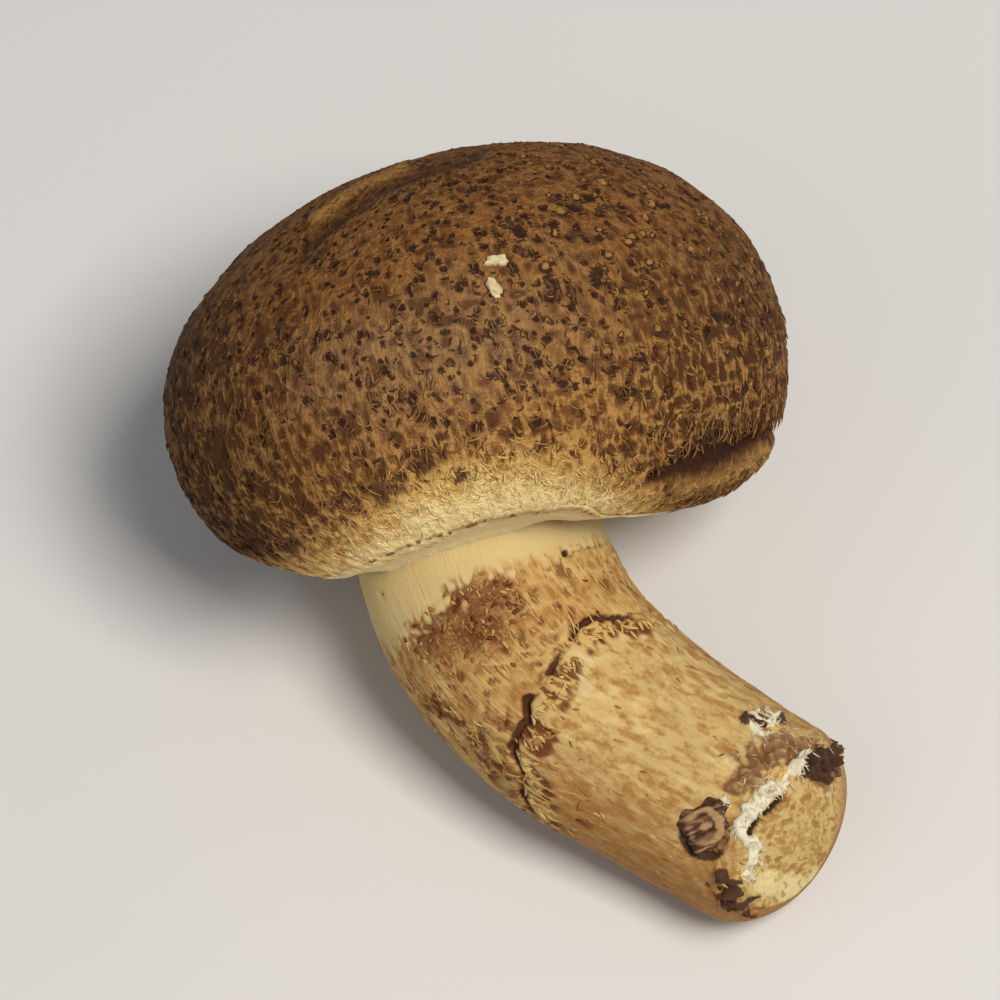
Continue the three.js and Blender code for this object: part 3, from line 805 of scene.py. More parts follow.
def stem_relief(points, place, angle, grain):
    """The skin's height over the smooth stem, and its marks."""
    flat = seen_from_front(points)
    front = smooth(-points[..., 1], 0, 3)
    shaft = smooth(place, 1.25, 0.95)
    swell = 0.3 * lumps(points / 9, 103) + 0.1 * lumps(points / 3.5, 105)
    wander = 0.35 * np.stack([lumps(points / 1.5, seed) for seed in (121, 122, 123)], -1)
    fibre = rough_lumps((grain + 0.4 * wander) / np.array([0.5, 0.5, 6.0]), 131)
    curl = 1.1 - 3.2 * np.abs(lumps((points + 0.8 * wander) / 0.85, 137))

    edge = np.interp(angle, *zip(*TORN_EDGE))
    down = (place - edge) * STEM_LENGTH
    down = down + 0.7 * lumps(grain / np.array([1.6, 1.6, 9]), 141)
    down = down + 0.4 * lumps(grain / np.array([0.6, 0.6, 9]), 143)
    torn = np.maximum(0.35, np.maximum(bump(angle, -2.35, 1.0), bump(angle, -1.0, 0.4)))
    sheath = 0.42 * np.exp(-np.abs(np.minimum(down, 0)) / 3.5) * (down < 0)
    tear = hill(down - 0.15, 0.22 + 0.26 * torn) * (0.85 + 0.95 * lumps(grain / 2.3, 145))
    tear = np.maximum(tear, 0) * (smooth(torn, 0.2, 0.7) + 0.45 * bump(angle, -2.45, 0.55))
    teeth = hill(down - 1.4, 1.9) * smooth(torn, 0.2, 0.75) * smooth(down, 0.1, 0.5)
    shingle = 1.1 - 3.2 * np.abs(lumps((grain + 0.7 * wander) / np.array([0.62, 0.62, 1.9]), 147))

    comb = hill(down - 1.3, 0.9) * torn * (down > 0.45)
    clear = smooth(down, -1.2, -3.4)
    upper = smooth(down, 0.2, -0.3)
    white = smooth(place + 0.035 * fibre + 0.02 * curl - 0.03 * bump(angle, -2.6, 0.5), 0.335, 0.245)
    red = soft_blots(flat, RED_PATCHES) * front * (0.85 + 0.35 * curl)
    core = soft_blots(flat, RED_CORES) * front * (0.8 + 0.4 * curl)
    red = np.maximum(red, 0.85 * smooth(rough_lumps(points / 3.0, 167), 0.0, 0.5) * bump(angle, -2.6, 0.9))
    back_red = smooth(rough_lumps(points / 4.5, 157), 0.15, 0.45) * (1 - front)
    red = np.maximum(red, back_red * smooth(place, 0.25, 0.32)) * upper
    scaly = smooth(place, 0.28, 0.35) * upper
    hole = blots(flat, BLACK_HOLES, 0) * front

    pink = smooth(1.5 + 0.5 * curl - from_line(flat, PINK_BAND), -0.9, 1.3) * front
    chalk = smooth(0.48 + 0.32 * curl - from_line(flat, CHALK_RIDGE), -0.15, 0.25) * front
    chalk = np.maximum(chalk, blots(flat, CHALK_PATCH, curl) * front)
    slit = smooth(0.4 - np.minimum(*(from_line(flat, part) for part in SLIT)), -0.15, 0.15) * front
    x, z, reach = BARK_ROUND
    away = np.linalg.norm(flat - np.array([x, z]), axis=-1) / reach
    # The groove round the bark's round socket is painted dark as shadow, most on its lower left side.
    shadow_side = smooth(dot(flat - np.array([x, z]), np.array([-0.8, -0.6])), -1.0, 1.4)
    round_ring = hill(away - 1, 0.22) * (0.1 + 0.9 * shadow_side) * front
    round_face = smooth(1.05 - away, 0, 0.25) * front
    bark = blots(flat, BARK_BUMPS, curl) * front
    over = dot(points - CUT_POINT, CUT_NORMAL)
    cut = smooth(over, -0.25, -0.02) * smooth(place, 0.95, 1.1)
    yellow = soft_blots(flat, YELLOW_WEDGE) * front * cut
    curls = 1 - 3.0 * np.abs(rough_lumps((points + 0.8 * wander) / 0.75, 171, 2))

    height = swell * shaft + 0.09 * fibre * shaft * (0.4 + scaly) + 0.5 * sheath * torn
    height += (0.05 + 0.1 * red) * np.maximum(curl, -0.8) * scaly - 0.7 * tear - 0.2 * core
    height += 0.24 * teeth * np.maximum(shingle, -0.7)
    height += -0.45 * hole + 0.075 * (1 - upper) * shaft * np.maximum(curl, -0.7)
    height += 0.35 * chalk * (0.5 + 0.8 * curl) - 1.1 * slit - 0.5 * round_ring - 0.5 * round_face
    height += 0.55 * bark * (0.4 + curl) + 0.07 * cut * np.maximum(curls, -0.8) * (1 - chalk) + 0.1 * yellow
    height += 0.3 * pink * np.maximum(curl, -0.8)
    marks = {
        "clear": clear, "upper": upper, "white": white, "scaly": scaly, "red": red, "core": core,
        "tear": tear, "teeth": teeth, "shingle": shingle, "comb": comb,
        "hole": np.maximum(hole, slit), "pink": pink, "chalk": chalk,
        # The bark mark also holds the round socket's painted shadow ring.
        "bark": np.maximum(bark, round_ring), "cut": cut, "yellow": yellow, "curl": curl,
        "round": round_face, "curls": curls * cut,
        # Painted shade: 1 towards the stem's sides, 0 where it faces the front.
        "edge": 1 - bump(angle, -1.35, 1.0), "grain": grain,
    }
    return height, marks


def stem_skin(surface):
    """White band, tan scaly skin with its red patch, dark tear, cream below with tan flecks, and the
    foot with its brown stain, bark, chalky ridge and cut face. Shade is painted towards the stem's
    sides, between the torn edge's teeth and round the bark's socket; highlights are painted pale
    on the lower stem."""
    speckle = surface.noise(3200, 3.0)
    grit = speckle - 0.5
    cloud = surface.noise(230, 2.0)
    cloudy = cloud - 0.5
    fibres = surface.strands(0.16, 4.0, 3.0)
    streaky = fibres - 0.5
    threads = surface.strands(0.09, 1.6, 2.0)
    curl = surface.mark("curl")
    lower = surface.mix((cloud + streaky * 0.5).step(0.35, 0.7), STEM_CREAM, FIBRE_LIGHT)
    # Painted shade: the lower stem turns tan and, with a real patchy stain, red-brown towards its sides.
    edge = surface.mark("edge") + cloudy * 0.7 + streaky * 0.5
    lower = surface.mix(edge.step(0.25, 0.95) * 0.8, lower, STEM_TAN)
    dapple = surface.strands(0.75, 1.7, 2.0)
    patchy = dapple - 0.5
    stain_and_side_shade = edge * 0.6 + patchy * 2.2 + grit * 0.6
    lower = surface.mix(stain_and_side_shade.step(0.55, 1.15) * 0.7, lower, RED_BROWN)
    fleck = dapple + grit * 0.35 + surface.mark("edge") * 0.1
    lower = surface.mix(fleck.step(0.42, 0.75) * 0.85, lower, STEM_TAN)
    # Painted highlights: pale patches on the lower stem, fading towards its shaded sides.
    pale = (curl * 0.15 + dapple * -0.9 + cloud * 0.9).step(0.0, 0.35) * (0.85 - edge * 0.9)
    lower = surface.mix(pale, lower, WHITE_BAND)
    upper = surface.mix((fibres * 0.55 + dapple * 0.5 + cloudy * 0.4).step(0.38, 0.72), STEM_TAN,
                        FIBRE_LIGHT)
    upper = surface.mix((dapple * 0.8 + curl * -0.25 + grit * 0.8).step(0.4, 0.85) * 0.65, upper,
                        RED_BROWN)
    red = surface.mark("red") - curl * 0.2 + grit + patchy * 1.2
    upper = surface.mix(red.step(0.0, 0.85) * 0.92, upper, RED_BROWN)
    upper = surface.mix((curl + (threads - 0.5) * 0.8).step(0.2, 0.9) * (0.32 - surface.mark("red") * 0.2),
                        upper, FIBRE_LIGHT)
    core = surface.mark("core") + grit * 0.8 + patchy * 0.8
    upper = surface.mix(core.step(0.25, 0.8) * 0.8, upper, TEAR_DARK)
    tone = surface.mix(surface.mark("upper"), lower, upper)
    band = surface.mark("white") + streaky * 0.5
    tone = surface.mix(band.step(0.25, 0.8), tone, surface.mix(cloud * 0.6, BAND_CREAM, FIBRE_LIGHT))
    teeth = surface.mark("teeth")
    shingle = surface.mark("shingle") + grit * 0.6
    tone = surface.mix((teeth + patchy * 1.1).step(0.1, 0.7) * 0.85, tone, STEM_TAN)
    # Painted shade in the gaps between the teeth of the torn edge.
    shade_between_teeth = (teeth - shingle * 0.5 + patchy * 0.7).step(0.12, 0.65) * teeth.step(0.05, 0.4)
    tone = surface.mix(shade_between_teeth * 0.92, tone, RED_BROWN)
    points = (teeth * 0.6 + shingle * 0.5).step(0.45, 0.85) * teeth.step(0.1, 0.4)
    tone = surface.mix(points * 0.85, tone, FIBRE_LIGHT)
    tear = (surface.mark("tear") + grit * 0.6).step(0.2, 0.6)
    tone = surface.mix(tear * 0.95, tone, TEAR_DARK)
    pink = surface.mix((curl + grit * 1.6).step(-0.7, 0.9), RED_BROWN, BARK_PINK)
    pink = surface.mix((curl + streaky * 1.6).step(0.6, 1.3) * 0.6, pink, FIBRE_LIGHT)
    pinkish = surface.mark("pink") + patchy * 0.8 + grit * 0.6
    tone = surface.mix(pinkish.step(0.2, 0.8) * 0.85, tone, pink)
    curls = surface.mark("curls")
    light = curls * 0.4 + grit * 1.2 + patchy * 1.6 + cloudy
    cut = surface.mix(light.step(-0.25, 0.35), CUT_FACE, YELLOWED)
    brown = curls * -0.35 + grit * 3.0 + patchy * 2.0 + cloudy
    cut = surface.mix(brown.step(0.0, 0.8) * 0.85, cut, STEM_TAN)
    cut = surface.mix((curls * 0.3 + grit * 1.8).step(0.4, 0.9) * 0.6, cut, WHITE_BAND)
    dots = surface.noise(1300, 1.0).step(0.54, 0.64) * cloud.step(0.3, 0.5)
    cut = surface.mix(dots * 0.75, cut, ORANGE_BROWN)
    tone = surface.mix(surface.mark("cut"), tone, cut)
    tone = surface.mix((surface.mark("round") + grit * 0.4).step(0.3, 0.8) * 0.75, tone,
                       surface.mix(curl.step(-0.2, 0.5), BARK_PINK, STEM_TAN))
    wedge = surface.mark("yellow") + grit * 0.5 + patchy * 0.7
    tone = surface.mix(wedge.step(0.25, 0.65) * (1 - dots * 0.7), tone, WEDGE_PALE)
    bark = (surface.mark("bark") + grit * 0.6).step(0.3, 0.7)
    tone = surface.mix(bark * 0.92, tone, BARK_DARK)
    tone = surface.mix((surface.mark("chalk") + grit * 0.5).step(0.3, 0.65), tone, CHALK)
    tone = surface.mix((surface.mark("hole") + grit * 0.4).step(0.3, 0.7), tone, BARK_DARK)
    roughness = 0.6 + speckle * 0.25
    height = fibres * 0.7 + threads * 0.35 + speckle * 0.3
    return tone, roughness, height, 0.6, 0.0002


stem_places = np.concatenate([np.linspace(0, 1, STEM_RINGS - NOSE_RINGS),
                              1 + np.linspace(0, 0.995, NOSE_RINGS + 1)[1:]])
stem_turns = np.linspace(-math.pi, math.pi, STEM_COLUMNS + 1)[:-1]
stem_place, stem_angle = np.meshgrid(stem_places, stem_turns, indexing="ij")
stem_points = stem_surface(stem_place, stem_angle)
stem_normals, stem_along, stem_across = normals_of(stem_surface, stem_place, stem_angle)
past = smooth(dot(stem_points - CUT_POINT, CUT_NORMAL), -0.6, -0.05)[..., None]
stem_normals = unit(stem_normals * (1 - past) + CUT_NORMAL * past)
stem_grain = np.stack([GRAIN_RADIUS * np.cos(stem_angle), GRAIN_RADIUS * np.sin(stem_angle),
                       STEM_LENGTH * stem_place], -1)
height, stem_marks = stem_relief(stem_points, stem_place, stem_angle, stem_grain)
stem_raised = stem_points + height[..., None] * stem_normals
top_centre, foot_tip = stem_raised[0].mean(0), stem_raised[-1].mean(0)
stem_finish = finish("stem skin", stem_skin, Subsurface_Weight=0.12,
                     Subsurface_Radius=(1.0, 0.5, 0.25), Subsurface_Scale=0.001,
                     Specular_IOR_Level=0.25)
solid("stem", np.concatenate([stem_raised.reshape(-1, 3), [top_centre, foot_tip]]),
      lathe_faces(STEM_RINGS, STEM_COLUMNS), stem_finish,
      {name: with_poles(values) for name, values in stem_marks.items()}, "mushroom")


# ---- The scales and loose fibres of the stem ---------------------------------------------------------
# The stem's skin breaks up into curled scales about its red-brown patch and lies in long fibres
# below it. Its torn edge is a comb of pale tufts, and small tan flecks dot the cream below.

CURLED_SCALES = 260
LONG_FIBRES = 1300
COMB_TUFTS = 300
SMALL_FLECKS = 620
RAGGED_FLAKES = 46


def scale_skin(surface):
    """Each tuft red-brown, tan or pale by its own tint."""
    speckle = surface.noise(2600, 2.0)
    tint = surface.mark("tint") + (speckle - 0.5) * 0.25
    tone = surface.mix(tint.step(0.1, 0.4), RED_BROWN, STEM_TAN)
    tone = surface.mix(tint.step(0.45, 0.85), tone, FIBRE_LIGHT)
    tone = surface.mix((0.3 - surface.mark("tip")).step(0.0, 0.3) * 0.35, tone, RED_BROWN)
    return tone, 0.62 + speckle * 0.25, speckle, 0.5, 0.0001


def sow_scales(name, count, weight, astray, reach, breadth, lift, bend, tints, seed, material):
    """A piece of that many tufts on the stem, placed by weight and pointing down it, with the
    spread of their turn and bend in radians, and a range for each of their other sizes."""
    draws = np.random.default_rng(seed)
    places = sown(weight, count, draws)
    root, along, across, normal = at(places, stem_raised, stem_along, stem_across, stem_normals)
    turn = draws.normal(0, astray, count)
    forward = along * np.cos(turn)[:, None] + across * np.sin(turn)[:, None]
    points = tufts(root, normal, forward, draws.uniform(*reach, count), draws.uniform(*breadth, count),
                   draws.uniform(*lift, count), draws.normal(0, bend, count), sunk=0.08)
    marks = {"tint": along_tufts(draws.uniform(*tints, count)), "tip": towards_tip(count)}
    solid(name, points, tuft_faces(count), material, marks)


scale_finish = finish("stem scales", scale_skin, Specular_IOR_Level=0.2)
visible = 0.35 + 0.65 * bump(stem_angle, FRONT, 1.6)
marks = stem_marks
bare = smooth(stem_place, 1.0, 0.93) * visible
tops = 1 - np.clip(marks["white"], 0, 1)
red = (marks["red"] ** 2 + 0.015 * marks["scaly"]) * (1 - 0.8 * marks["core"]) * bare * tops
combed = marks["clear"] * marks["scaly"] * (1 - 1.4 * marks["red"]) * bare
# Small flecks are sown thicker towards the stem's sides, following its painted side shade.
flecked = (1 - marks["upper"]) * (0.35 + marks["edge"] + marks["teeth"]) * (1 - marks["cut"])
flecked = flecked * visible * smooth(stem_place, 1.3, 1.0)
ragged = bump(stem_angle, -2.7, 0.22) * smooth(stem_place, 0.36, 0.44) * smooth(stem_place, 0.86, 0.7)
ragged = ragged * (0.4 + marks["upper"])
# The piece, how many, where, the stray turn, the lengths, widths and lifts, the bend, tints and seed.
for tufting in [
    ("curled_scales", CURLED_SCALES, red, 1.1, (0.5, 0.95), (0.34, 0.56), (0.04, 0.14), 1.4, (0, 0.72), 11),
    ("long_fibres", LONG_FIBRES, combed, 0.16, (1.0, 2.8), (0.1, 0.24), (0, 0.07), 0.35, (0.3, 1.0), 12),
    ("comb", COMB_TUFTS, marks["comb"] * bare, 0.4, (0.6, 1.5), (0.3, 0.6), (0, 0.08), 0.8, (0.3, 1.15), 13),
    ("small_flecks", SMALL_FLECKS, flecked, 0.35, (0.5, 1.2), (0.2, 0.4), (0, 0.04), 0.4, (0.2, 0.8), 14),
    ("ragged_flakes", RAGGED_FLAKES, ragged, 0.5, (0.8, 1.9), (0.3, 0.6), (0.1, 0.3), 1.0, (0.1, 0.75), 16),
]:
    sow_scales(*tufting, scale_finish)


# ---- The veil between the rim and the stem -----------------------------------------------------------
# A skirt of thin cottony tissue still ties the rim to the stem along the front, where small dark
# pits run along its seam. Elsewhere it has torn free, and only a bead of it is left on the rim.

VEIL_COLUMNS = 720
VEIL_RINGS = 44
VEIL_TOP = 0.615
VEIL_FOOT = 0.225
VEIL_THICKNESS = 0.35
VEIL_PITS = 96
VEIL_STARTS = -2.85, -2.35
VEIL_ENDS = -0.85, -1.35
VEIL_PAINTED_LIGHT = (0.84, 0.67, 0.35, 1)


def veil_surface(ring, angle):
    """A flattened tube: ring goes once round its cross-section, out and down from the rim to the
    stem and back behind. Its reach fades where the veil has torn away."""
    reach = smooth(angle, *VEIL_STARTS) * smooth(angle, *VEIL_ENDS)
    reach = np.clip(reach * (1 + 0.12 * lumps_along(angle * 7, 181)), 0, 1)
    reach = 0.06 + 0.94 * reach
    down = (0.5 - 0.5 * np.cos(ring)) * reach
    top = cap_surface(VEIL_TOP + 0.075 * (1 - smooth(reach, 0.0, 0.9)), angle) - np.array([0, 0, 0.05])
    foot = stem_surface(np.full_like(angle, VEIL_FOOT), angle)
    point = top + (foot - top) * down[..., None]
    outward = np.stack([np.cos(angle), np.sin(angle), -0.9 + 0 * angle], -1)
    hollow = -0.8 * np.sin(math.pi * np.clip(down, 0, 1) ** 2.2)
    half = 0.5 * VEIL_THICKNESS * (1 - 0.75 * down)
    tucked = 0.15 * down + 0.5 * smooth(down, 0.8, 1)
    return point + outward * (half * np.sin(ring) + hollow - tucked)[..., None]


def loop_faces(rings, columns):
    """Quads of a closed tube whose two directions both come round again."""
    ring = np.arange(rings)[:, None]
    column = np.arange(columns)
    next_ring, next_column = (ring + 1) % rings, (column + 1) % columns
    return np.stack([ring * columns + column, ring * columns + next_column,
                     next_ring * columns + next_column, next_ring * columns + column],
                    -1).reshape(-1, 4)


def veil_skin(surface):
    """Cream cotton, painted paler low down against its shade, a tan seam of painted shade, dark pits."""
    speckle = surface.noise(2400, 3.0)
    grit = speckle - 0.5
    wisps = surface.strands(0.35, 1.0, 2.0)
    tone = surface.mix((wisps + grit * 0.4).step(0.3, 0.6), FIBRE_LIGHT, WHITE_BAND)
    # The lower part of the veil is painted lighter, to make up for the shade it lies in.
    tone = surface.mix(surface.mark("low"), tone, VEIL_PAINTED_LIGHT)
    # Painted shade along the groove of the seam.
    seam = (surface.mark("seam") + grit * 0.6).step(0.1, 0.9)
    tone = surface.mix(seam * 0.55, tone, STEM_TAN)
    pits = (surface.mark("pits") + grit * 0.5).step(0.3, 0.8)
    tone = surface.mix(pits * 0.75, tone, DARK_BROWN)
    return tone, 0.65 + speckle * 0.2, speckle + wisps * 0.8, 0.6, 0.0002


veil_ring, veil_angle = np.meshgrid(np.linspace(0, 2 * math.pi, VEIL_RINGS + 1)[:-1],
                                    np.linspace(-math.pi, math.pi, VEIL_COLUMNS + 1)[:-1], indexing="ij")
veil_points = veil_surface(veil_ring, veil_angle)
veil_normals = normals_of(veil_surface, veil_ring, veil_angle)[0]
down = 0.5 - 0.5 * np.cos(veil_ring)
wobble = lumps_along(veil_angle * 9, 191)
seam = hill(down - 0.08 - 0.03 * wobble, 0.055) * smooth(veil_angle, -0.9, -1.2)
beat = np.cos(VEIL_PITS * veil_angle + 4 * wobble)
missed = lumps_along(veil_angle * 31, 197)
pits = seam * smooth(beat + 0.8 * missed, 0.3, 0.9)
folds = lumps(np.stack([veil_angle * 34, down * 1.5, 0 * down], -1), 193)
veil_height = 0.04 * folds + 0.06 * rough_lumps(veil_points / 0.9, 195) - 0.12 * seam - 0.2 * pits
veil_points = veil_points - veil_height[..., None] * veil_normals
veil_marks = {"seam": seam, "pits": pits, "low": smooth(down, 0.15, 0.4),
              "grain": np.stack([15 * np.cos(veil_angle), 15 * np.sin(veil_angle), 5 * down], -1)}
veil_finish = finish("veil", veil_skin, Subsurface_Weight=0.15, Subsurface_Radius=(1.0, 0.5, 0.25),
                     Subsurface_Scale=0.001, Specular_IOR_Level=0.3)
solid("veil", veil_points.reshape(-1, 3), loop_faces(VEIL_RINGS, VEIL_COLUMNS), veil_finish,
      {name: values.reshape(-1, 3) if values.ndim == 3 else values.ravel()
       for name, values in veil_marks.items()})


# ---- The gills ---------------------------------------------------------------------------------------
# Thin pale leaves stand on edge all round the stem, under the cap, and are all but shut in by its
# rolled rim. Every other one is short.

GILLS = 168
GILL_STEPS = 7
GILL_THICKNESS = 0.24
GILL_ROOT = -5.6
GILL_STARTS = 10.9, 12.9
GILL_END = 15.2


def gill_points():
    """Each leaf runs outwards from the stem under the cap, and is a strip with four edges: its
    upper and lower edge on either face. The lower edge is bowed and slightly wavy."""
    which = np.arange(GILLS)[:, None]
    angle = which * 2 * math.pi / GILLS + 0.01 * lumps_along(which * 1.7, 201)
    out = np.linspace(0, 1, GILL_STEPS)[None, :]
    start = np.where(which % 2 == 0, *GILL_STARTS)
    radius = start + (GILL_END - start) * out
    lower = -8.9 + 1.6 * out * out + 0.7 * (1 - out) + 0.25 * np.sin(3 * which)
    bend = angle + 0.012 * np.sin(5 * out + which)
    radial = np.stack([np.cos(bend), np.sin(bend), 0 * bend], -1)
    sideways = np.stack([-np.sin(bend), np.cos(bend), 0 * bend], -1) * GILL_THICKNESS / 2
    at_radius = radial * radius[..., None]
    rise = np.array([0, 0, 1.0])
    high, low = at_radius + rise * GILL_ROOT, at_radius + rise * lower[..., None]
    return np.stack([high + sideways, high - sideways, low - 0.4 * sideways, low + 0.4 * sideways], 2)


def gill_faces():
    """Four quads between neighbouring steps of each leaf, and one at either end."""
    edge = np.arange(4)
    following = (edge + 1) % 4
    step = np.arange(GILL_STEPS - 1)[:, None] * 4
    sides = np.stack([step + edge, step + following, step + 4 + following, step + 4 + edge], -1)
    last = (GILL_STEPS - 1) * 4
    one = np.concatenate([sides.reshape(-1, 4), [[3, 2, 1, 0]], [[last, last + 1, last + 2, last + 3]]])
    return (np.arange(GILLS)[:, None, None] * GILL_STEPS * 4 + one).reshape(-1, 4)


def gill_skin(surface):
    """Cream leaves that turn tan towards the free edge."""
    speckle = surface.noise(1800, 2.0)
    tone = surface.mix(speckle.step(0.35, 0.7), WHITE_BAND, FIBRE_LIGHT)
    return (surface.mix(surface.mark("edge") * speckle, tone, STEM_TAN), 0.6 + speckle * 0.2, speckle,
            0.3, 0.0001)


leaves = gill_points()
solid("gills", leaves.reshape(-1, 3), gill_faces(),
      finish("gills", gill_skin, Subsurface_Weight=0.2, Subsurface_Scale=0.001),
      {"edge": np.tile([0.0, 0.0, 1.0, 1.0], GILLS * GILL_STEPS)})


# ---- The white threads on the foot -------------------------------------------------------------------
# Fine white threads of the fungus grew out of the foot where it was joined to the log. They are
# matted along one ridge and about one small patch.

THREADS = 480


def thread_skin(surface):
    """Chalky white, a little yellowed here and there."""
    speckle = surface.noise(2000, 2.0)
    return (surface.mix((speckle + surface.mark("tint") * 0.5).step(0.4, 1.0), CHALK, FIBRE_LIGHT),
            0.7 + speckle * 0.2, speckle, 0.3, 0.0001)


thread_finish = finish("threads", thread_skin, Subsurface_Weight=0.2, Subsurface_Scale=0.001,
                       Specular_IOR_Level=0.2)
matted = marks["chalk"] + 0.15 * marks["pink"] * (1 - marks["bark"]) * (marks["curl"] > 0.35)
beside = np.minimum(*(from_line(seen_from_front(stem_points), part) for part in SLIT))
sow_scales("white_threads", THREADS, matted * smooth(beside, 0.5, 1.2), 1.2, (0.4, 1.0), (0.08, 0.17),
           (0.0, 0.05), 1.0, (-0.3, 0.25), 15, thread_finish)


# ---- The crumbs of bark ------------------------------------------------------------------------------
# Four small pieces of the log's dark, layered bark are stuck in sockets in the foot, where they
# tore off with it.

# The node, the place along the stem, the size, the turn in radians, the dish's depth, and a nudge.
CHIPS = [
    ("bark_chip_1", 1, (4.4, 3.4, 1.9), 0.5, 0.1, (-1.2, -0.3, 0.5)),
    ("bark_chip_2", 0.965, (4.5, 4.0, 1.6), 0.9, 0.4, (0, 0, 0)),
    ("bark_chip_3", 1, (4.2, 3.0, 1.8), 2.0, 0.1, (0, 0, 0)),
    ("bark_chip_4", 0.93, (2.9, 2.0, 1.3), 1.2, 0.1, (0, 0, 0)),
]
CHIP_COLUMNS = 96
CHIP_RINGS = 48
BARK_DEEP = (0.052, 0.018, 0.008, 1)
BARK_BROWN = (0.15, 0.062, 0.028, 1)
BARK_LIGHT = (0.39, 0.195, 0.082, 1)
BARK_FACE = (0.50, 0.295, 0.135, 1)


def chip_shape(tilt, angle, size, dish, seed):
    """A slab: tilt runs over it from its outer pole to its inner one, angle round it. Its outline is
    a rounded box, broken by lumps, and a dish is sunk in its outer face."""
    outline = (np.abs(np.cos(angle)) ** 3 + np.abs(np.sin(angle)) ** 3) ** (-1 / 3)
    around = np.stack([np.cos(angle), np.sin(angle), 0 * angle], -1)
    outline = outline * (1 + 0.16 * lumps(2.2 * around, seed) + 0.1 * lumps(5 * around, seed + 3))
    reach = np.sin(tilt) ** 0.5 * outline
    rise = np.sign(np.cos(tilt)) * np.abs(np.cos(tilt)) ** 0.75
    hollow = dish * hill(reach, 0.62) * (rise > 0)
    flat = np.stack([reach * np.cos(angle), reach * np.sin(angle), rise - hollow], -1)
    return flat * np.array(size) / 2


def chip_skin(surface):
    """Dark brown layered bark, lighter on its ridges and in rings over a dished face. The rings
    are painted darker on one side as shade.
    """
    speckle = surface.noise(2200, 3.0)
    grit = speckle - 0.5
    layers = surface.strands(0.35, 2.2, 3.0)
    tone = surface.mix((layers + grit * 0.5).step(0.35, 0.7), BARK_DEEP, BARK_BROWN)
    ridge = (surface.mark("ridge") + grit * 0.9).step(0.45, 1.1)
    tone = surface.mix(ridge * 0.6, tone, BARK_LIGHT)
    ring = (surface.mark("ring") + (layers - 0.5) * 1.6).step(-0.1, 0.7)
    tone = surface.mix(ring * 0.85, tone, BARK_FACE)
    return tone, 0.55 + speckle * 0.35, layers + speckle * 0.6, 0.7, 0.0002


chip_finish = finish("bark", chip_skin, Specular_IOR_Level=0.3)
tilt, round_it = np.meshgrid(np.linspace(0, math.pi, CHIP_RINGS + 2)[1:-1],
                             np.linspace(0, 2 * math.pi, CHIP_COLUMNS + 1)[:-1], indexing="ij")
for number, (node, place, size, turn, dish, nudge) in enumerate(CHIPS):
    low, high = (np.array(corner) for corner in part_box(node))
    middle = ((low + high) / 2 - SHIFT) @ LAID * 1000 + np.array(nudge)
    centre, along = stem_frame(place)[:2]
    out = unit(middle - centre)
    down = unit(along - out * dot(along, out))
    across = np.cross(out, down)
    shape = chip_shape(tilt, round_it, size, dish, 211 + number)
    ridges = rough_lumps(shape / np.array([2.4, 0.42, 0.5]), 221 + number)
    shape = shape * (1 + 0.10 * ridges + 0.10 * rough_lumps(shape / 1.1, 231 + number))[..., None]
    bearing = np.hypot(shape[..., 0], shape[..., 1]) / (0.5 * size[1]) + 0.14 * lumps(shape / 1.1, 261)
    poles = np.array([shape[0].mean(0), shape[-1].mean(0)])
    points = np.concatenate([shape.reshape(-1, 3), poles])
    ahead = down * math.cos(turn) + across * math.sin(turn)
    aside = across * math.cos(turn) - down * math.sin(turn)
    placed = middle + points @ np.stack([ahead, aside, out])
    ring = 4 * (dish - 0.1) * smooth(bearing, 0.95, 0.7) * (shape[..., 2] > 0)
    ring = ring * (0.45 + 0.55 * np.cos(9 * bearing + 2.5 * ridges))
    # Painted shade: the rings fade on the left side of the chip's face.
    inner = placed[:-2].reshape(shape.shape)[..., 0] - middle[0]
    ring = ring * (0.25 + 0.75 * smooth(inner, -1.5, 0.5))
    solid(node + "_bark", placed, lathe_faces(CHIP_RINGS, CHIP_COLUMNS), chip_finish,
          {"ridge": with_poles(ridges), "ring": with_poles(ring),
           "grain": with_poles(shape[..., [1, 2, 0]])}, node)


# ---- Two cottony crumbs on the cap -------------------------------------------------------------------
# Two loose pale scraps of dry cottony tissue. They lie on the front of the cap, one under the other,
# and only the wool there holds them.

# Where each lies as seen from the front, its size, and its turn in radians.
CRUMBS = [((4.0, 8.3), (1.9, 1.0, 0.7), 0.15), ((3.3, 6.1), (1.05, 1.6, 0.6), -0.2)]
CRUMB_PALE = (0.68, 0.56, 0.32, 1)
CRUMB_TAN = (0.46, 0.31, 0.12, 1)


def crumb_skin(surface):
    """Pale and dry, tan in its hollows."""
    speckle = surface.noise(1600, 3.0)
    return (surface.mix((surface.mark("ridge") + (speckle - 0.5)).step(-0.6, 0.3), CRUMB_TAN, CRUMB_PALE),
            0.75 + speckle * 0.2, speckle, 0.5, 0.0002)


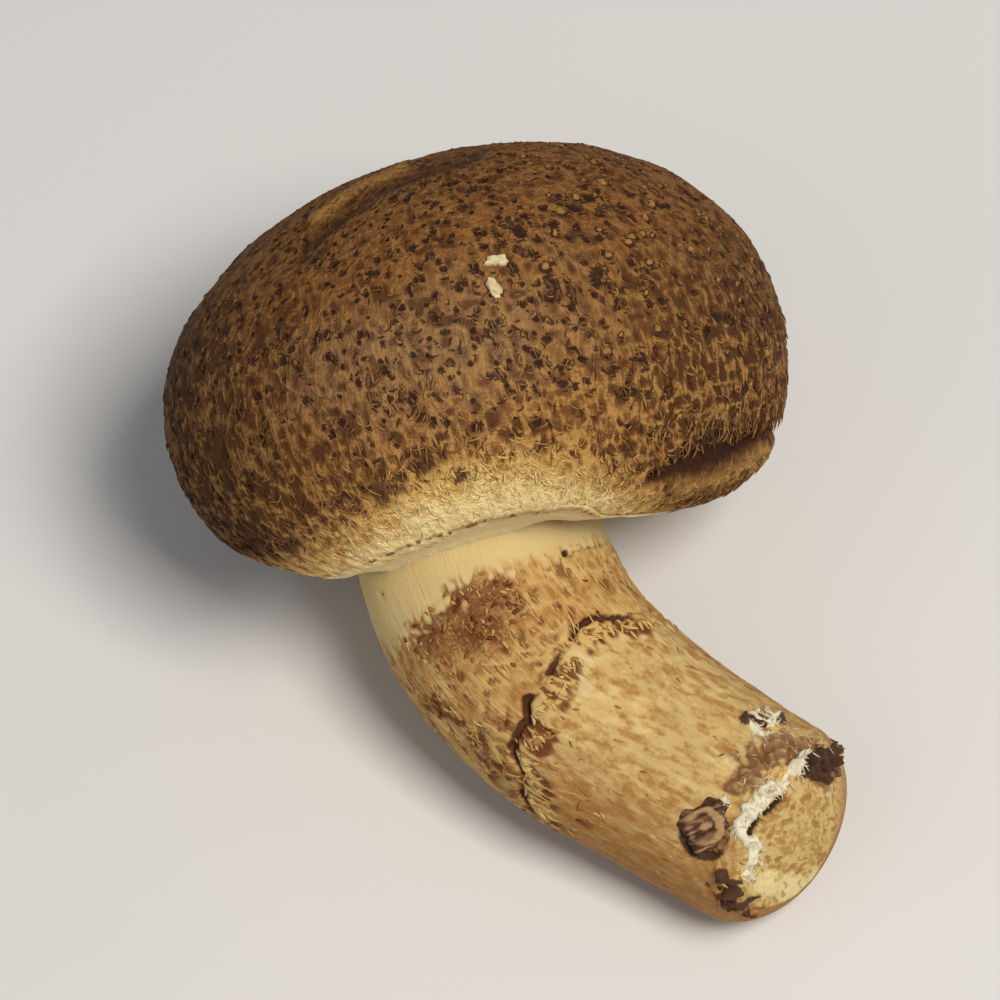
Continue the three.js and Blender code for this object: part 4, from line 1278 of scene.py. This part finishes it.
crumb_finish = finish("crumb", crumb_skin, Subsurface_Weight=0.1, Subsurface_Scale=0.001)
for number, (spot, size, turn) in enumerate(CRUMBS):
    away = np.linalg.norm(seen_from_front(cap_points) - np.array(spot), axis=-1)
    nearest = int(np.argmin(away + 100 * (cap_points[..., 1] > 0)))
    root, out, down, across = at(nearest, cap_raised, cap_normals, cap_down, cap_across)
    shape = chip_shape(tilt, round_it, size, 0, 241 + number)
    ridges = rough_lumps(shape / 0.55, 251 + number)
    shape = shape * (1 + 0.22 * ridges + 0.15 * lumps(shape / 0.8, 255 + number))[..., None]
    points = np.concatenate([shape.reshape(-1, 3), [shape[0].mean(0), shape[-1].mean(0)]])
    ahead = across * math.cos(turn) + down * math.sin(turn)
    placed = root + out * 0.22 + points @ np.stack([ahead, np.cross(out, ahead), out])
    solid("crumb_%d" % (number + 1), placed, lathe_faces(CHIP_RINGS, CHIP_COLUMNS), crumb_finish,
          {"ridge": with_poles(ridges)})


# ---- The floor, the light and the camera -------------------------------------------------------------
# A plain pale floor, one large soft light from above and to the right, a weak fill, and a long lens
# that looks down at the mushroom's front.

FLOOR_SIZE = 3.0
VIEW_LIFT = 3.0
VIEW_ROLL = -11.5
LENS = 200
FRAME_WIDTH = 0.086
floor_mesh = bpy.data.meshes.new("floor")
half = FLOOR_SIZE / 2
floor_mesh.from_pydata([(-half, -half, 0), (half, -half, 0), (half, half, 0), (-half, half, 0)], [],
                       [(0, 1, 2, 3)])
floor_mesh.materials.append(finish(
    "floor", lambda surface: (
        surface.mix(surface.noise(3.0), (0.70, 0.68, 0.65, 1), (0.74, 0.72, 0.69, 1)),
        surface.noise(40.0) * 0.1 + 0.55, surface.noise(900.0), 0.05, 0.0002)))
floor = bpy.data.objects.new("floor", floor_mesh)
bpy.context.scene.collection.objects.link(floor)
floor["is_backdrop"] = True
to_world = Matrix.Rotation(-LEAN, 3, "X")
lift = math.radians(VIEW_LIFT)
towards_camera = to_world @ Vector((0, -math.cos(lift), math.sin(lift)))
low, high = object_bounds()
target = (Vector(low) + Vector(high)) / 2
camera_data = bpy.data.cameras.new("camera")
camera_data.lens = LENS
camera_data.clip_end = 20
camera = bpy.data.objects.new("camera", camera_data)
bpy.context.scene.collection.objects.link(camera)
distance = FRAME_WIDTH * LENS / camera_data.sensor_width
facing = towards_camera.to_track_quat("Z", "Y").to_matrix()
facing = facing @ Matrix.Rotation(math.radians(VIEW_ROLL), 3, "Z")
camera.matrix_world = Matrix.Translation(target + towards_camera * distance) @ facing.to_4x4()
bpy.context.scene.camera = camera


def soft_light(name, azimuth, elevation, away, size, power, tint):
    """A square area light of that size, away metres from the mushroom and facing it. Azimuth 0 is
    towards -Y, and goes round towards +X."""
    light = bpy.data.lights.new(name, "AREA")
    light.size = size
    light.energy = power
    light.color = tint
    lamp = bpy.data.objects.new(name, light)
    bpy.context.scene.collection.objects.link(lamp)
    turn, rise = math.radians(azimuth), math.radians(elevation)
    direction = Vector((math.sin(turn) * math.cos(rise), -math.cos(turn) * math.cos(rise),
                        math.sin(rise)))
    lamp.matrix_world = (Matrix.Translation(target + direction * away)
                         @ direction.to_track_quat("Z", "Y").to_matrix().to_4x4())


soft_light("key", 40, 60, 0.9, 0.3, 7.5, (1.0, 0.97, 0.92))
soft_light("fill", -60, 45, 1.2, 0.9, 1.2, (0.93, 0.96, 1.0))
world = bpy.data.worlds.new("world")
bpy.context.scene.world = world
world.use_nodes = True
world.node_tree.nodes["Background"].inputs["Color"].default_value = (0.9, 0.93, 1.0, 1.0)
world.node_tree.nodes["Background"].inputs["Strength"].default_value = 0.22
bpy.context.scene.view_settings.view_transform = "Standard"
